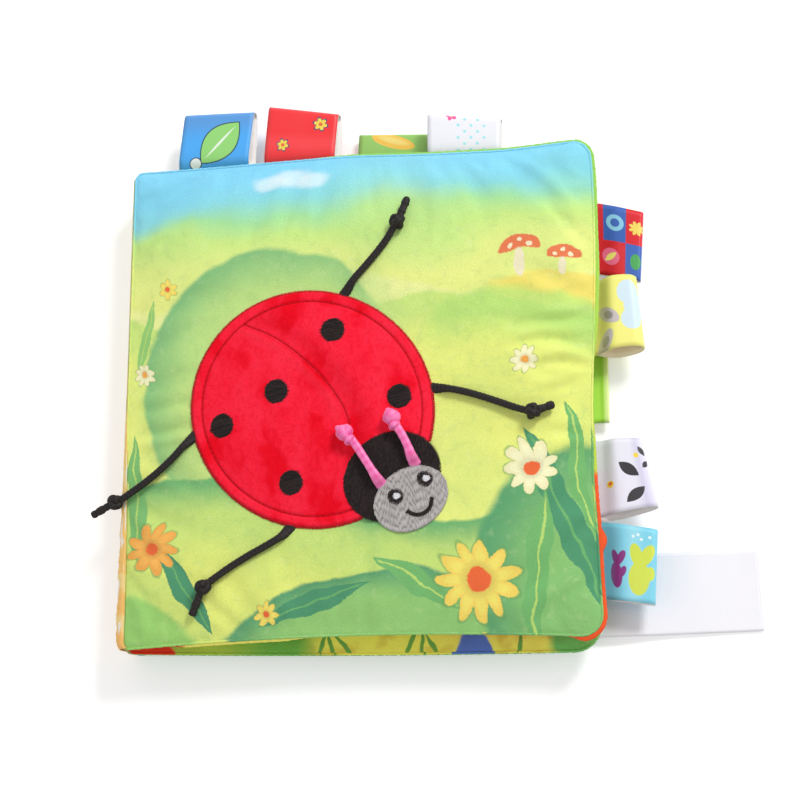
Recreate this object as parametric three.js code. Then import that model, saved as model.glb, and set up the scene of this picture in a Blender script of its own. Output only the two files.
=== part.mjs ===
// A soft crinkle cloth book for a baby: three padded leaves that turn about the spine, ribbon tags in their
// seams, and a raised ladybird with cord legs and antennae on the cover. Millimetres, +Z up, +X towards the
// fore-edge, +Y towards the top edge. The origin is the middle of the flat face that the closed book lies on.
import * as THREE from "three";

// The leaves
const page_width = 160;
const page_height = 166;
const leaf_crown = 3.3;
const crown_roll = 26;
const leaf_gap = 0.4;
const cloth_thickness = 0.5;
const seam_gap = 0.3;
const pressed_depth = 0.5;
const fore_corner_radius = 8;
const spine_corner_radius = 2;
const fore_edge_bow = 2.4;
const upper_edge_bow = 0.9;
const lower_edge_bow = 2.8;
const middle_lower_bow = 0.4;
const middle_leaf_slip = 3.2;
const film_thickness = 0.4;
const fit_gap = 0.3;
const ring_shares = [0, 0.1, 0.3, 0.6, 1];
const filling_first_ring = 2;
const corner_growth_share = 0.5;
const corner_steps = 3;
const side_steps = 6;

// The spine
const binding_thickness = 1.3;
const binding_height = 6;
const binding_end_clearance = 4;
const binding_curve_steps = 8;

// The ribbon tags and the care label
const ribbon_width = 25;
const ribbon_thickness = 0.5;
const loop_opening = 5.2;
const flat_fold_opening = 1.4;
const loop_root = 1.5;
const loop_run = 6;
const ribbon_curve_steps = 5;
const blue_tag_reach = 22;
const red_tag_reach = 20.5;
const green_top_tag_reach = 12;
const white_top_tag_reach = 14;
const checked_tag_reach = 15.5;
const yellow_tag_reach = 15.4;
const green_side_tag_reach = 4.6;
const white_side_tag_reach = 18;
const light_blue_tag_reach = 16.6;
const blue_tag_from_spine = 26.2;
const red_tag_from_spine = 56.9;
const green_top_tag_from_spine = 88.2;
const white_top_tag_from_spine = 114.5;
const checked_tag_from_top = 31.7;
const yellow_tag_from_top = 60;
const green_side_tag_from_top = 83;
const white_side_tag_from_bottom = 52.2;
const light_blue_tag_from_bottom = 24.3;
const label_length = 48.5;
const label_width = 26;
const label_from_bottom = 16;
const label_thickness = 0.4;
const label_end_height = 0.9;
const label_wave = 0.7;
const label_steps = 12;

// The ladybird
const bug_x = -14.7;
const bug_y = -5.1;
const plush_radius = 40;
const plush_thickness = 0.7;
const plush_border = 5;
const pad_rim_height = 0.3;
const pad_crown = 1.3;
const pad_ring_shares = [1, 0.7, 0.35];
const edge_stitch_width = 1;
const edge_stitch_height = 1.3;
const edge_stitch_steps = 40;
const spot_radius = 4.1;
const spot_thickness = 0.5;
const spot_steps = 16;
const spot_place_shares = [
  [0.17, 0.648],
  [-0.3, 0.143],
  [-0.765, -0.123],
  [0.73, 0.055],
  [-0.168, -0.63],
];
const patch_thickness = 0.7;
const head_x = 18.3;
const head_y = -37.1;
const head_long_radius = 12.8;
const head_short_radius = 10;
const head_turn_degrees = 30.4;
const head_steps = 28;
const head_ring_shares = [1, 0.75, 0.5, 0.25];
const collar_long_radius = 17.4;
const collar_short_radius = 14.5;
const collar_across = -1.1;
const collar_above = 9.1;
const collar_outer_start_degrees = -20;
const collar_outer_sweep_degrees = 228;
const collar_inner_start_degrees = 20;
const collar_inner_sweep_degrees = 160;
const collar_steps = 22;
const collar_bands = 5;
const eye_radius = 2.5;
const eye_spacing = 11.1;
const eye_across = 1.6;
const eye_above = 3.2;
const eye_steps = 14;
const thread_thickness = 0.35;
const smile_radius = 5.4;
const smile_width = 1.4;
const smile_across = 1.7;
const smile_above = -0.9;
const smile_start_degrees = 202;
const smile_sweep_degrees = 130;
const smile_steps = 8;
const head_slope_start = 3;
const head_slope_run = 4.5;
const round_steps = 32;

// The cords
const leg_diameter = 2.6;
const antenna_diameter = 2.4;
const cord_sides = 8;
const leg_knot_length = 5;
const leg_knot_radius = 2.35;
const leg_tail_radius = 1.2;
const antenna_knot_length = 5.2;
const antenna_knot_radius = 2;
const antenna_tail_radius = 1.1;
const leg_cord_steps = 8;
const antenna_cord_steps = 6;
const knot_steps = 12;
const knot_profile_shares = [
  [0.6, -0.85],
  [1, -0.35],
  [1, 0.35],
  [0.6, 0.85],
];

const seam_half = cloth_thickness + seam_gap / 2;
const leaf_pitch = 2 * leaf_crown + leaf_gap;
const back_level = leaf_crown - pressed_depth;
const middle_level = back_level + leaf_pitch;
const cover_level = middle_level + leaf_pitch;
const cover_top = cover_level + leaf_crown;
const pad_radius = plush_radius - plush_border;

// A leaf's half thickness at a distance in from its rim
function crownAt(inset) {
  const share = Math.min(inset / crown_roll, 1);
  return seam_half + (leaf_crown - seam_half) * (1 - (1 - share) ** 2);
}

// How far the puffed leaf draws its sides in, and how far its fore-edge has slipped down
function drawnIn(leaf, x, y) {
  const across = x / (page_width / 2);
  const along = y / (page_height / 2);
  const side = x > 0 ? fore_edge_bow : 0;
  const end = y > 0 ? upper_edge_bow : leaf.lowerBow;
  return [
    x - across * side * (1 - along ** 2),
    y - along * end * (1 - across ** 2) - leaf.slip * (across + 1) / 2,
  ];
}

// One closed ring of a leaf's outline, counterclockwise from the lower fore-edge corner
function leafRing(leaf, inset) {
  const half_width = page_width / 2 - inset;
  const half_height = page_height / 2 - inset;
  const growth = inset * corner_growth_share;
  const corners = [
    [1, -1, fore_corner_radius],
    [1, 1, fore_corner_radius],
    [-1, 1, spine_corner_radius],
    [-1, -1, spine_corner_radius],
  ];
  const arcs = corners.map(([right, up, radius], corner) => {
    const round = radius + growth;
    const arc = [];
    for (let step = 0; step <= corner_steps; step++) {
      const angle = Math.PI / 2 * (corner - 1 + step / corner_steps);
      const x = right * (half_width - round) + round * Math.cos(angle);
      const y = up * (half_height - round) + round * Math.sin(angle);
      arc.push([x, y]);
    }
    return arc;
  });
  const points = [];
  arcs.forEach((arc, corner) => {
    points.push(...arc);
    const from = arc[corner_steps];
    const to = arcs[(corner + 1) % arcs.length][0];
    for (let step = 1; step < side_steps; step++) {
      const share = step / side_steps;
      points.push([from[0] + (to[0] - from[0]) * share, from[1] + (to[1] - from[1]) * share]);
    }
  });
  return points.map(([x, y]) => drawnIn(leaf, x, y));
}

function bufferGeometry(places, triangles) {
  const geometry = new THREE.BufferGeometry();
  geometry.setAttribute("position", new THREE.Float32BufferAttribute(places, 3));
  geometry.setIndex(triangles);
  geometry.computeVertexNormals();
  return geometry;
}

// A closed sheet over rings of points, the rim first and one middle point last. lower and upper give the
// heights of its two faces from a point and its ring's number.
function ringBody(rings, lower, upper) {
  const count = rings[0].length;
  const places = [];
  const triangles = [];
  for (const height of [upper, lower]) {
    rings.forEach((ring, number) => {
      ring.forEach(([x, y]) => places.push(x, y, height([x, y], number)));
    });
  }
  const face = (rings.length - 1) * count + 1;
  for (let number = 0; number < rings.length - 1; number++) {
    for (let step = 0; step < count; step++) {
      const next = (step + 1) % count;
      const outer = [number * count + step, number * count + next];
      const last = number === rings.length - 2;
      const inner = last ? [face - 1, face - 1] : [outer[0] + count, outer[1] + count];
      triangles.push(outer[0], outer[1], inner[1]);
      triangles.push(face + outer[0], face + inner[1], face + outer[1]);
      if (!last) {
        triangles.push(outer[0], inner[1], inner[0]);
        triangles.push(face + outer[0], face + inner[0], face + inner[1]);
      }
    }
  }
  for (let step = 0; step < count; step++) {
    const next = (step + 1) % count;
    triangles.push(face + step, face + next, next);
    triangles.push(face + step, next, step);
  }
  return bufferGeometry(places, triangles);
}

// A closed sheet over a grid of points, rows along it. Seen from above, a row's points run to the right of
// the way from row to row.
function gridBody(rows, lower, upper) {
  const across = rows[0].length;
  const face = rows.length * across;
  const places = [];
  const triangles = [];
  for (const height of [upper, lower]) {
    rows.forEach((row) => row.forEach(([x, y]) => places.push(x, y, height([x, y]))));
  }
  const wall = (a, b) => triangles.push(a, face + a, face + b, a, face + b, b);
  for (let row = 0; row < rows.length - 1; row++) {
    for (let step = 0; step < across - 1; step++) {
      const a = row * across + step;
      const b = a + 1;
      const c = a + across;
      const d = c + 1;
      triangles.push(a, b, d, a, d, c);
      triangles.push(face + a, face + d, face + b, face + a, face + c, face + d);
    }
    wall((row + 1) * across, row * across);
    wall(row * across + across - 1, (row + 1) * across + across - 1);
  }
  for (let step = 0; step < across - 1; step++) {
    wall(step, step + 1);
    wall(face - across + step + 1, face - across + step);
  }
  return bufferGeometry(places, triangles);
}

function piece(name, geometry, colour, roughness) {
  const material = new THREE.MeshStandardMaterial({ color: colour, roughness, metalness: 0 });
  const mesh = new THREE.Mesh(geometry, material);
  mesh.name = name;
  return mesh;
}

// A leaf: two cloths that meet at the seam, with padding and a crinkle film sealed between them
function leafPieces(leaf) {
  const rims = ring_shares.map((share) => share * crown_roll);
  const rings = rims.map((inset) => leafRing(leaf, inset));
  rings.push([drawnIn(leaf, 0, 0)]);
  const crowns = [...rims, crown_roll].map(crownAt);
  const below = crowns.map((crown) => Math.min(crown, leaf.under));
  const filling = rings.slice(filling_first_ring);
  const top = (number) => crowns[number + filling_first_ring] - cloth_thickness - fit_gap;
  const bottom = (number) => cloth_thickness + fit_gap - below[number + filling_first_ring];
  const padding_top = (number) => top(number) - film_thickness - fit_gap;
  const front = ringBody(
    rings,
    (point, number) => crowns[number] - cloth_thickness,
    (point, number) => crowns[number],
  );
  const back = ringBody(
    rings,
    (point, number) => -below[number],
    (point, number) => cloth_thickness - below[number],
  );
  const padding = ringBody(
    filling,
    (point, number) => bottom(number),
    (point, number) => padding_top(number),
  );
  const film = ringBody(
    filling,
    (point, number) => top(number) - film_thickness,
    (point, number) => top(number),
  );
  const group = new THREE.Group();
  group.add(piece(leaf.front, front, leaf.frontColour, 0.9));
  group.add(piece(leaf.back, back, leaf.backColour, 0.9));
  group.add(piece(leaf.name + "_padding", padding, 0xf4f2ea, 1));
  group.add(piece(leaf.name + "_crinkle_film", film, 0xdfe6ea, 0.3));
  group.position.z = leaf.level;
  return group;
}

const leaves = [
  {
    name: "cover",
    front: "cover_outer_cloth",
    back: "cover_inner_cloth",
    level: cover_level,
    under: leaf_crown,
    lowerBow: lower_edge_bow,
    slip: 0,
    frontColour: 0xc4dc58,
    backColour: 0xe2552c,
  },
  {
    name: "middle_leaf",
    front: "middle_leaf_front_cloth",
    back: "middle_leaf_back_cloth",
    level: middle_level,
    under: leaf_crown,
    lowerBow: middle_lower_bow,
    slip: middle_leaf_slip,
    frontColour: 0xd9b934,
    backColour: 0x9ccf5a,
  },
  {
    name: "back_cover",
    front: "back_cover_inner_cloth",
    back: "back_cover_outer_cloth",
    level: back_level,
    under: back_level,
    lowerBow: lower_edge_bow,
    slip: 0,
    frontColour: 0x8fc7e8,
    backColour: 0xf0913a,
  },
];

// The cloth at the spine, folded flat and sewn along the middle leaf's edge
function spineBinding() {
  const half = binding_height / 2;
  const outline = new THREE.Shape();
  outline.moveTo(-fit_gap, half);
  outline.quadraticCurveTo(-fit_gap - 2 * binding_thickness, 0, -fit_gap, -half);
  outline.closePath();
  const length = page_height - 2 * binding_end_clearance;
  const geometry = new THREE.ExtrudeGeometry(outline, {
    depth: length,
    bevelEnabled: false,
    curveSegments: binding_curve_steps,
  });
  const mesh = piece("spine_binding", geometry, 0xf08a2e, 0.9);
  mesh.rotation.x = Math.PI / 2;
  mesh.position.set(-page_width / 2, length / 2, middle_level);
  return mesh;
}

// The side view of a ribbon that is folded to a loop and sewn together at its root
function loopOutline(reach, opening) {
  const half = opening / 2 + ribbon_thickness;
  const run = Math.min(loop_run, reach - loop_root - half);
  const full = loop_root + run;
  const outline = new THREE.Shape();
  outline.moveTo(0, -ribbon_thickness);
  outline.lineTo(loop_root, -ribbon_thickness);
  outline.bezierCurveTo(
    loop_root + run / 2, -ribbon_thickness, full - run / 2, -half, full, -half,
  );
  outline.lineTo(reach - half, -half);
  outline.absarc(reach - half, 0, half, -Math.PI / 2, Math.PI / 2, false);
  outline.lineTo(full, half);
  outline.bezierCurveTo(
    full - run / 2, half, loop_root + run / 2, ribbon_thickness, loop_root, ribbon_thickness,
  );
  outline.lineTo(0, ribbon_thickness);
  outline.closePath();
  const hole = new THREE.Path();
  const pinch = loop_root + ribbon_thickness;
  const inside = opening / 2;
  hole.moveTo(pinch, 0);
  hole.bezierCurveTo(pinch + run / 2, 0, full - run / 2 + ribbon_thickness, inside, full, inside);
  hole.lineTo(reach - half, inside);
  hole.absarc(reach - half, 0, inside, Math.PI / 2, -Math.PI / 2, true);
  hole.lineTo(full, -inside);
  hole.bezierCurveTo(full - run / 2 + ribbon_thickness, -inside, pinch + run / 2, 0, pinch, 0);
  outline.holes.push(hole);
  return outline;
}

// The outermost place of a leaf's edge over a stretch along it
function edgeOver(edge, leaf, place, width) {
  const along = [place - width / 2, place, place + width / 2];
  if (edge === "fore") {
    return Math.max(...along.map((y) => drawnIn(leaf, page_width / 2, y)[0]));
  }
  return Math.max(...along.map((x) => drawnIn(leaf, x, page_height / 2)[1]));
}

function tagPiece(tag) {
  const root = edgeOver(tag.edge, tag.leaf, tag.place, ribbon_width) + fit_gap;
  const outline = loopOutline(tag.reach, tag.opening);
  const geometry = new THREE.ExtrudeGeometry(outline, {
    depth: ribbon_width,
    bevelEnabled: false,
    curveSegments: ribbon_curve_steps,
  });
  const mesh = piece(tag.name, geometry, tag.colour, 0.45);
  const outward = new THREE.Vector3(1, 0, 0);
  const up = new THREE.Vector3(0, 0, 1);
  if (tag.edge === "upper") outward.set(0, 1, 0);
  const along = outward.clone().cross(up);
  mesh.quaternion.setFromRotationMatrix(new THREE.Matrix4().makeBasis(outward, up, along));
  const middle = tag.edge === "fore" ? [root, tag.place] : [tag.place, root];
  mesh.position.set(middle[0], middle[1], tag.leaf.level);
  mesh.position.addScaledVector(along, -ribbon_width / 2);
  return mesh;
}

const [, middle_leaf, back_cover] = leaves;
const on_top_edge = (from_spine) => from_spine - page_width / 2;
const below_top = (from_top) => page_height / 2 - from_top;
const above_bottom = (from_bottom) => from_bottom - page_height / 2;
const tags = [
  [
    "tag_top_blue", "upper", middle_leaf,
    on_top_edge(blue_tag_from_spine), blue_tag_reach, loop_opening, 0x3f97e0,
  ],
  [
    "tag_top_red", "upper", middle_leaf,
    on_top_edge(red_tag_from_spine), red_tag_reach, loop_opening, 0xe8303a,
  ],
  [
    "tag_top_green", "upper", back_cover,
    on_top_edge(green_top_tag_from_spine), green_top_tag_reach, flat_fold_opening, 0x86c45a,
  ],
  [
    "tag_top_white", "upper", middle_leaf,
    on_top_edge(white_top_tag_from_spine), white_top_tag_reach, flat_fold_opening, 0xf3f3f6,
  ],
  [
    "tag_side_checked", "fore", back_cover,
    below_top(checked_tag_from_top), checked_tag_reach, flat_fold_opening, 0x2f57a8,
  ],
  [
    "tag_side_yellow", "fore", middle_leaf,
    below_top(yellow_tag_from_top), yellow_tag_reach, loop_opening, 0xf2e05a,
  ],
  [
    "tag_side_green", "fore", back_cover,
    below_top(green_side_tag_from_top), green_side_tag_reach, flat_fold_opening, 0x9ad83c,
  ],
  [
    "tag_side_white", "fore", middle_leaf,
    above_bottom(white_side_tag_from_bottom), white_side_tag_reach, loop_opening, 0xe4e2f4,
  ],
  [
    "tag_side_light_blue", "fore", middle_leaf,
    above_bottom(light_blue_tag_from_bottom), light_blue_tag_reach, loop_opening, 0x5cc3dc,
  ],
].map(([name, edge, leaf, place, reach, opening, colour]) => {
  return { name, edge, leaf, place, reach, opening, colour };
});

// The care label leaves the back cover's seam, comes down and lies just above the surface in a soft wave
function careLabel() {
  const label_place = label_from_bottom - page_height / 2;
  const root = edgeOver("fore", back_cover, label_place, label_width) + fit_gap;
  const rows = [];
  for (let step = 0; step <= label_steps; step++) {
    const x = root + label_length * step / label_steps;
    rows.push([
      [x, label_place - label_width / 2],
      [x, label_place + label_width / 2],
    ]);
  }
  const height = ([x]) => {
    const share = (x - root) / label_length;
    const drop = (1 + Math.cos(Math.PI * Math.min(2 * share, 1))) / 2;
    const wave = label_wave * Math.sin(Math.PI * share) ** 2;
    return label_end_height + (back_level - label_end_height) * drop + wave * (1 - drop);
  };
  const geometry = gridBody(
    rows.reverse(),
    (point) => height(point) - label_thickness,
    height,
  );
  return piece("care_label", geometry, 0xf4f4f6, 0.4);
}

function circleRing(x, y, radius, steps) {
  const ring = [];
  for (let step = 0; step < steps; step++) {
    const angle = 2 * Math.PI * step / steps;
    ring.push([x + radius * Math.cos(angle), y + radius * Math.sin(angle)]);
  }
  return ring;
}

// Heights of the ladybird's layers above the cover's top, from the distance to its middle
function padTop(radius) {
  return fit_gap + pad_rim_height + pad_crown * (1 - Math.min(radius / pad_radius, 1) ** 2);
}

function plushTop(radius) {
  const over_pad = padTop(radius) + fit_gap + plush_thickness;
  const rim = fit_gap + plush_thickness;
  const fall = Math.max(0, (radius - pad_radius) / (plush_radius - pad_radius));
  return over_pad + (rim - over_pad) * Math.min(fall, 1);
}

// The surface that the head and the collar lie on: the plush, its edge stitch, then down to the cover
function surfaceUnder([x, y]) {
  const radius = Math.hypot(x - bug_x, y - bug_y);
  const stitch_edge = plush_radius + fit_gap + edge_stitch_width;
  const on_plush = Math.max(plushTop(radius), edge_stitch_height);
  const beyond = (radius - stitch_edge - head_slope_start) / head_slope_run;
  return on_plush * (1 - Math.min(Math.max(beyond, 0), 1));
}

function ladybirdBody() {
  const group = new THREE.Group();
  const ringsOf = (radii) => [
    ...radii.map((radius) => circleRing(bug_x, bug_y, radius, round_steps)),
    [[bug_x, bug_y]],
  ];
  const radiusOf = ([x, y]) => Math.hypot(x - bug_x, y - bug_y);
  const pad_rings = ringsOf(pad_ring_shares.map((share) => share * pad_radius));
  const pad = ringBody(pad_rings, () => fit_gap, (point) => padTop(radiusOf(point)));
  group.add(piece("ladybird_pad", pad, 0xf2efe6, 1));
  const flange = pad_radius + fit_gap;
  const inner_rings = pad_ring_shares.slice(1).map((share) => share * pad_radius);
  const plush_rings = ringsOf([plush_radius, flange, ...inner_rings]);
  const plush = ringBody(
    plush_rings,
    (point, number) => number === 0 ? fit_gap : padTop(radiusOf(point)) + fit_gap,
    (point) => plushTop(radiusOf(point)),
  );
  group.add(piece("ladybird_shell", plush, 0xdd1626, 0.95));
  const inner = plush_radius + fit_gap;
  const low = fit_gap;
  const high = edge_stitch_height;
  const third = (high - low) / 3;
  const stitch = new THREE.LatheGeometry(
    [
      [inner, low],
      [inner + edge_stitch_width, low],
      [inner + edge_stitch_width, high - third],
      [inner + edge_stitch_width / 2, high],
      [inner, high - third],
      [inner, low],
    ].map(([radius, height]) => new THREE.Vector2(radius, height)),
    edge_stitch_steps,
  );
  stitch.rotateX(Math.PI / 2);
  stitch.translate(bug_x, bug_y, 0);
  group.add(piece("ladybird_edge_stitch", stitch, 0xb01020, 0.8));
  spot_place_shares.forEach(([across, along], number) => {
    const x = bug_x + across * plush_radius;
    const y = bug_y + along * plush_radius;
    const rings = [
      circleRing(x, y, spot_radius, spot_steps),
      circleRing(x, y, spot_radius / 2, spot_steps),
      [[x, y]],
    ];
    const under = (point) => plushTop(radiusOf(point)) + fit_gap;
    const spot = ringBody(rings, under, (point) => under(point) + spot_thickness);
    group.add(piece("ladybird_spot_" + (number + 1), spot, 0x17130f, 0.85));
  });
  return group;
}

// The face is drawn across and above the head's middle, turned with the head
function facePlace(across, above) {
  const turn = THREE.MathUtils.degToRad(head_turn_degrees);
  return [
    head_x + across * Math.cos(turn) - above * Math.sin(turn),
    head_y + across * Math.sin(turn) + above * Math.cos(turn),
  ];
}

function ladybirdHead() {
  const group = new THREE.Group();
  const under = (point) => surfaceUnder(point) + fit_gap;
  const patch_top = (point) => under(point) + patch_thickness;
  const ring = (share) => circleRing(0, 0, 1, head_steps).map(([x, y]) => {
    return facePlace(share * head_long_radius * x, share * head_short_radius * y);
  });
  const head = ringBody([...head_ring_shares.map(ring), [facePlace(0, 0)]], under, patch_top);
  group.add(piece("ladybird_head", head, 0x9c9a94, 0.7));

  const rows = [];
  for (let step = 0; step <= collar_steps; step++) {
    const turned = step / collar_steps;
    const outer_angle = THREE.MathUtils.degToRad(
      collar_outer_start_degrees + collar_outer_sweep_degrees * turned,
    );
    const inner_angle = THREE.MathUtils.degToRad(
      collar_inner_start_degrees + collar_inner_sweep_degrees * turned,
    );
    const outer = [
      collar_across + collar_long_radius * Math.cos(outer_angle),
      collar_above + collar_short_radius * Math.sin(outer_angle),
    ];
    const inner = [
      (head_long_radius + fit_gap) * Math.cos(inner_angle),
      (head_short_radius + fit_gap) * Math.sin(inner_angle),
    ];
    const row = [];
    for (let band = 0; band <= collar_bands; band++) {
      const share = band / collar_bands;
      row.push(facePlace(
        inner[0] + (outer[0] - inner[0]) * share,
        inner[1] + (outer[1] - inner[1]) * share,
      ));
    }
    rows.push(row);
  }
  group.add(piece("ladybird_collar", gridBody(rows, under, patch_top), 0x14110f, 0.9));

  const thread_under = (point) => patch_top(point) + fit_gap;
  const thread_top = (point) => thread_under(point) + thread_thickness;
  for (const [name, side] of [["left", -1], ["right", 1]]) {
    const middle = facePlace(eye_across + side * eye_spacing / 2, eye_above);
    const rings = [circleRing(...middle, eye_radius, eye_steps), [middle]];
    const eye = ringBody(rings, thread_under, thread_top);
    group.add(piece("ladybird_eye_" + name, eye, 0x14110f, 0.7));
  }

  const smile_rows = [];
  const smile_radii = [smile_radius - smile_width / 2, smile_radius + smile_width / 2];
  for (let step = 0; step <= smile_steps; step++) {
    const angle = THREE.MathUtils.degToRad(
      smile_start_degrees + smile_sweep_degrees * step / smile_steps,
    );
    smile_rows.push(smile_radii.map((radius) => {
      return facePlace(smile_across + radius * Math.cos(angle), smile_above + radius * Math.sin(angle));
    }));
  }
  group.add(piece("ladybird_smile", gridBody(smile_rows, thread_under, thread_top), 0x14110f, 0.7));
  return group;
}

// A cord along its route, straight for its first and last stretch
function cordTube(route, diameter, steps) {
  const section = new THREE.Shape();
  for (let side = 0; side < cord_sides; side++) {
    const angle = 2 * Math.PI * side / cord_sides;
    const x = diameter / 2 * Math.cos(angle);
    const y = diameter / 2 * Math.sin(angle);
    if (side === 0) section.moveTo(x, y);
    else section.lineTo(x, y);
  }
  section.closePath();
  const points = route.map((point) => new THREE.Vector3(...point));
  const path = new THREE.CatmullRomCurve3(points, false, "centripetal");
  return new THREE.ExtrudeGeometry(section, { steps, extrudePath: path, bevelEnabled: false });
}

// A knot with the cord's short tail, turned to run from the knot's middle towards the tail's end
function knotGeometry(middle, end, length, radius, tail_radius) {
  const from = new THREE.Vector3(...middle);
  const way = new THREE.Vector3(...end).sub(from);
  const tail = way.length();
  const half = length / 2;
  const profile = [
    [0, -half],
    ...knot_profile_shares.map(([out, along]) => [radius * out, half * along]),
    [tail_radius, half],
    [tail_radius, tail],
    [0, tail],
  ].map(([x, y]) => new THREE.Vector2(x, y));
  const geometry = new THREE.LatheGeometry(profile, knot_steps);
  const turn = new THREE.Quaternion().setFromUnitVectors(new THREE.Vector3(0, 1, 0), way.normalize());
  geometry.applyQuaternion(turn);
  geometry.translate(from.x, from.y, from.z);
  return geometry;
}

// The cords' routes, then the knot's middle and the tail's end, in millimetres in the part's frame
const leg_routes = {
  leg_upper: {
    route: [
      [-2.6, 34.8, 21.7],
      [-1.2, 38.1, 21.7],
      [1.6, 42.2, 21.7],
      [5.6, 47.4, 21.7],
      [9.4, 51.6, 21.8],
      [12.1, 54.7, 22.4],
    ],
    knot: [14, 56.9, 22.8],
    tail: [17.1, 65.2, 21.6],
  },
  leg_right: {
    route: [
      [26.8, -0.5, 21.7],
      [30.2, -1, 21.7],
      [35.6, -2.3, 21.7],
      [41.4, -4.2, 21.7],
      [47.2, -6.4, 21.7],
      [52.1, -8.4, 21.9],
      [55.7, -9.7, 22.3],
    ],
    knot: [58.4, -10.4, 22.7],
    tail: [64.9, -8.1, 21.3],
  },
  leg_left: {
    route: [
      [-56, -13.4, 21.7],
      [-58.3, -15.9, 21.6],
      [-61.9, -19.8, 21.4],
      [-66.4, -23.9, 21.2],
      [-71.4, -27.6, 20.7],
      [-75.8, -30.4, 20.2],
      [-79.6, -32.6, 19.6],
    ],
    knot: [-82.3, -33.7, 19.3],
    tail: [-88.7, -36.9, 18.6],
  },
  leg_lower: {
    route: [
      [-20.7, -46.9, 21.7],
      [-22.8, -49, 21.7],
      [-27.4, -51.6, 21.6],
      [-33.4, -54.6, 21.5],
      [-39.6, -57.8, 21.4],
      [-44.2, -60.5, 21.6],
      [-47.1, -62.3, 21.9],
    ],
    knot: [-49.4, -63.8, 22.3],
    tail: [-53.9, -72, 20.6],
  },
};

const antenna_routes = {
  antenna_left: {
    route: [
      [9.4, -33.1, 24.1],
      [7.9, -30.8, 24.4],
      [5.6, -27, 24.7],
      [3.2, -23.1, 24.9],
      [1.2, -19.9, 25.1],
      [-0.5, -17.6, 25.1],
    ],
    knot: [-2.4, -15.7, 25.2],
    tail: [-6, -12.6, 24.8],
  },
  antenna_right: {
    route: [
      [20.1, -26.4, 24.1],
      [19.1, -23.9, 24.2],
      [17.9, -20.4, 24.4],
      [16.2, -16.8, 24.6],
      [14.4, -13.8, 24.7],
    ],
    knot: [12.9, -11.2, 24.7],
    tail: [12.7, -6.6, 24.4],
  },
};

const book = new THREE.Group();
book.name = "crinkle_cloth_book";
leaves.forEach((leaf) => book.add(leafPieces(leaf)));
book.add(spineBinding());
tags.forEach((tag) => book.add(tagPiece(tag)));
book.add(careLabel());

const ladybird = new THREE.Group();
ladybird.add(ladybirdBody(), ladybirdHead());
ladybird.position.z = cover_top;
book.add(ladybird);

for (const [name, { route, knot, tail }] of Object.entries(leg_routes)) {
  const knot_shape = knotGeometry(knot, tail, leg_knot_length, leg_knot_radius, leg_tail_radius);
  book.add(piece(name + "_cord", cordTube(route, leg_diameter, leg_cord_steps), 0x15130f, 0.7));
  book.add(piece(name + "_knot", knot_shape, 0x15130f, 0.7));
}
for (const [name, { route, knot, tail }] of Object.entries(antenna_routes)) {
  const knot_shape = knotGeometry(
    knot, tail, antenna_knot_length, antenna_knot_radius, antenna_tail_radius,
  );
  book.add(piece(name + "_cord", cordTube(route, antenna_diameter, antenna_cord_steps), 0xf06fae, 0.5));
  book.add(piece(name + "_knot", knot_shape, 0xf06fae, 0.5));
}

export default book;
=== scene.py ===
"""A soft crinkle cloth book for a baby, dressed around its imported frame: padded printed leaves, satin
ribbon tags, and a plush ladybird with stitched spots, cord legs and cord antennae. Metres, +Z up, +X to the
fore-edge.
Each cloth carries an attribute, cloth_mm, with the place of every point on the flat cloth in millimetres, and
the prints are drawn in it."""
import math

import bpy
import numpy as np
from mathutils import Matrix, Quaternion, Vector


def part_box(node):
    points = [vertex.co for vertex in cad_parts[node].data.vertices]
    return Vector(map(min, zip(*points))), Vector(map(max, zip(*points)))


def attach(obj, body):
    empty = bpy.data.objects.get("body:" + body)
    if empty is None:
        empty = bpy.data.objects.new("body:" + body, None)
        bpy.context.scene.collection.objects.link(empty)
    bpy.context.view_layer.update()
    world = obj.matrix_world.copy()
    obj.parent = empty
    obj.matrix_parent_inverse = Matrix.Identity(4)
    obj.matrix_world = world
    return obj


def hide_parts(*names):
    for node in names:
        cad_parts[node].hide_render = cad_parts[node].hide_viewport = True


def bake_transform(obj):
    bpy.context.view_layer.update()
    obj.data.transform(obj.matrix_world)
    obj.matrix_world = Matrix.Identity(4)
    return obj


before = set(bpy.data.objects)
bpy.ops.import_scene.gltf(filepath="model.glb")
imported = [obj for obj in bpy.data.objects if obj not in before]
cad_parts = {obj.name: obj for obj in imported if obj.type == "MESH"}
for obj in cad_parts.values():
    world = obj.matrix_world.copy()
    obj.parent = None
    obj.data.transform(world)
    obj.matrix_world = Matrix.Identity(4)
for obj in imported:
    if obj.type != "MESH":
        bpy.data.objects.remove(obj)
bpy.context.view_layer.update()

MM = 0.001

# Camera, from the photograph's perspective
camera_eye = Vector((153.87, -179.98, 687.8)) * MM
camera_ahead = Vector((-0.1979, 0.2501, -0.9478))
camera_up = Vector((0.0495, 0.9682, 0.2452))
camera_lens_mm = 97.1

# The leaves
page_width = 160 * MM
page_height = 166 * MM
crown_roll = 26 * MM
seam_half = 0.65 * MM
edge_round = 1.1 * MM
cloth_thickness = 0.4 * MM
spine_corner_radius = 3.2 * MM
fore_edge_bow = 2.4 * MM
upper_edge_bow = 0.9 * MM
rim_insets_mm = (0, 0.35, 0.9, 1.8, 3.2, 5)
cell = 1.6 * MM

# The ladybird
bug_middle = Vector((-14.7, -5.1)) * MM
plush_radius = 40.4 * MM
plush_border = 3.6 * MM
pad_radius = 35 * MM
plush_border_height = 1.1 * MM
plush_crown = 2.9 * MM
head_middle = Vector((18.3, -37.1)) * MM
head_turn = math.radians(30.4)
head_radii_mm = (12.8, 10)
collar_radii_mm = (16.5, 14.3)
collar_middle_mm = (-1.5, 9.6)
leg_diameter = 2.4 * MM
antenna_diameter = 2.4 * MM

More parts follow.
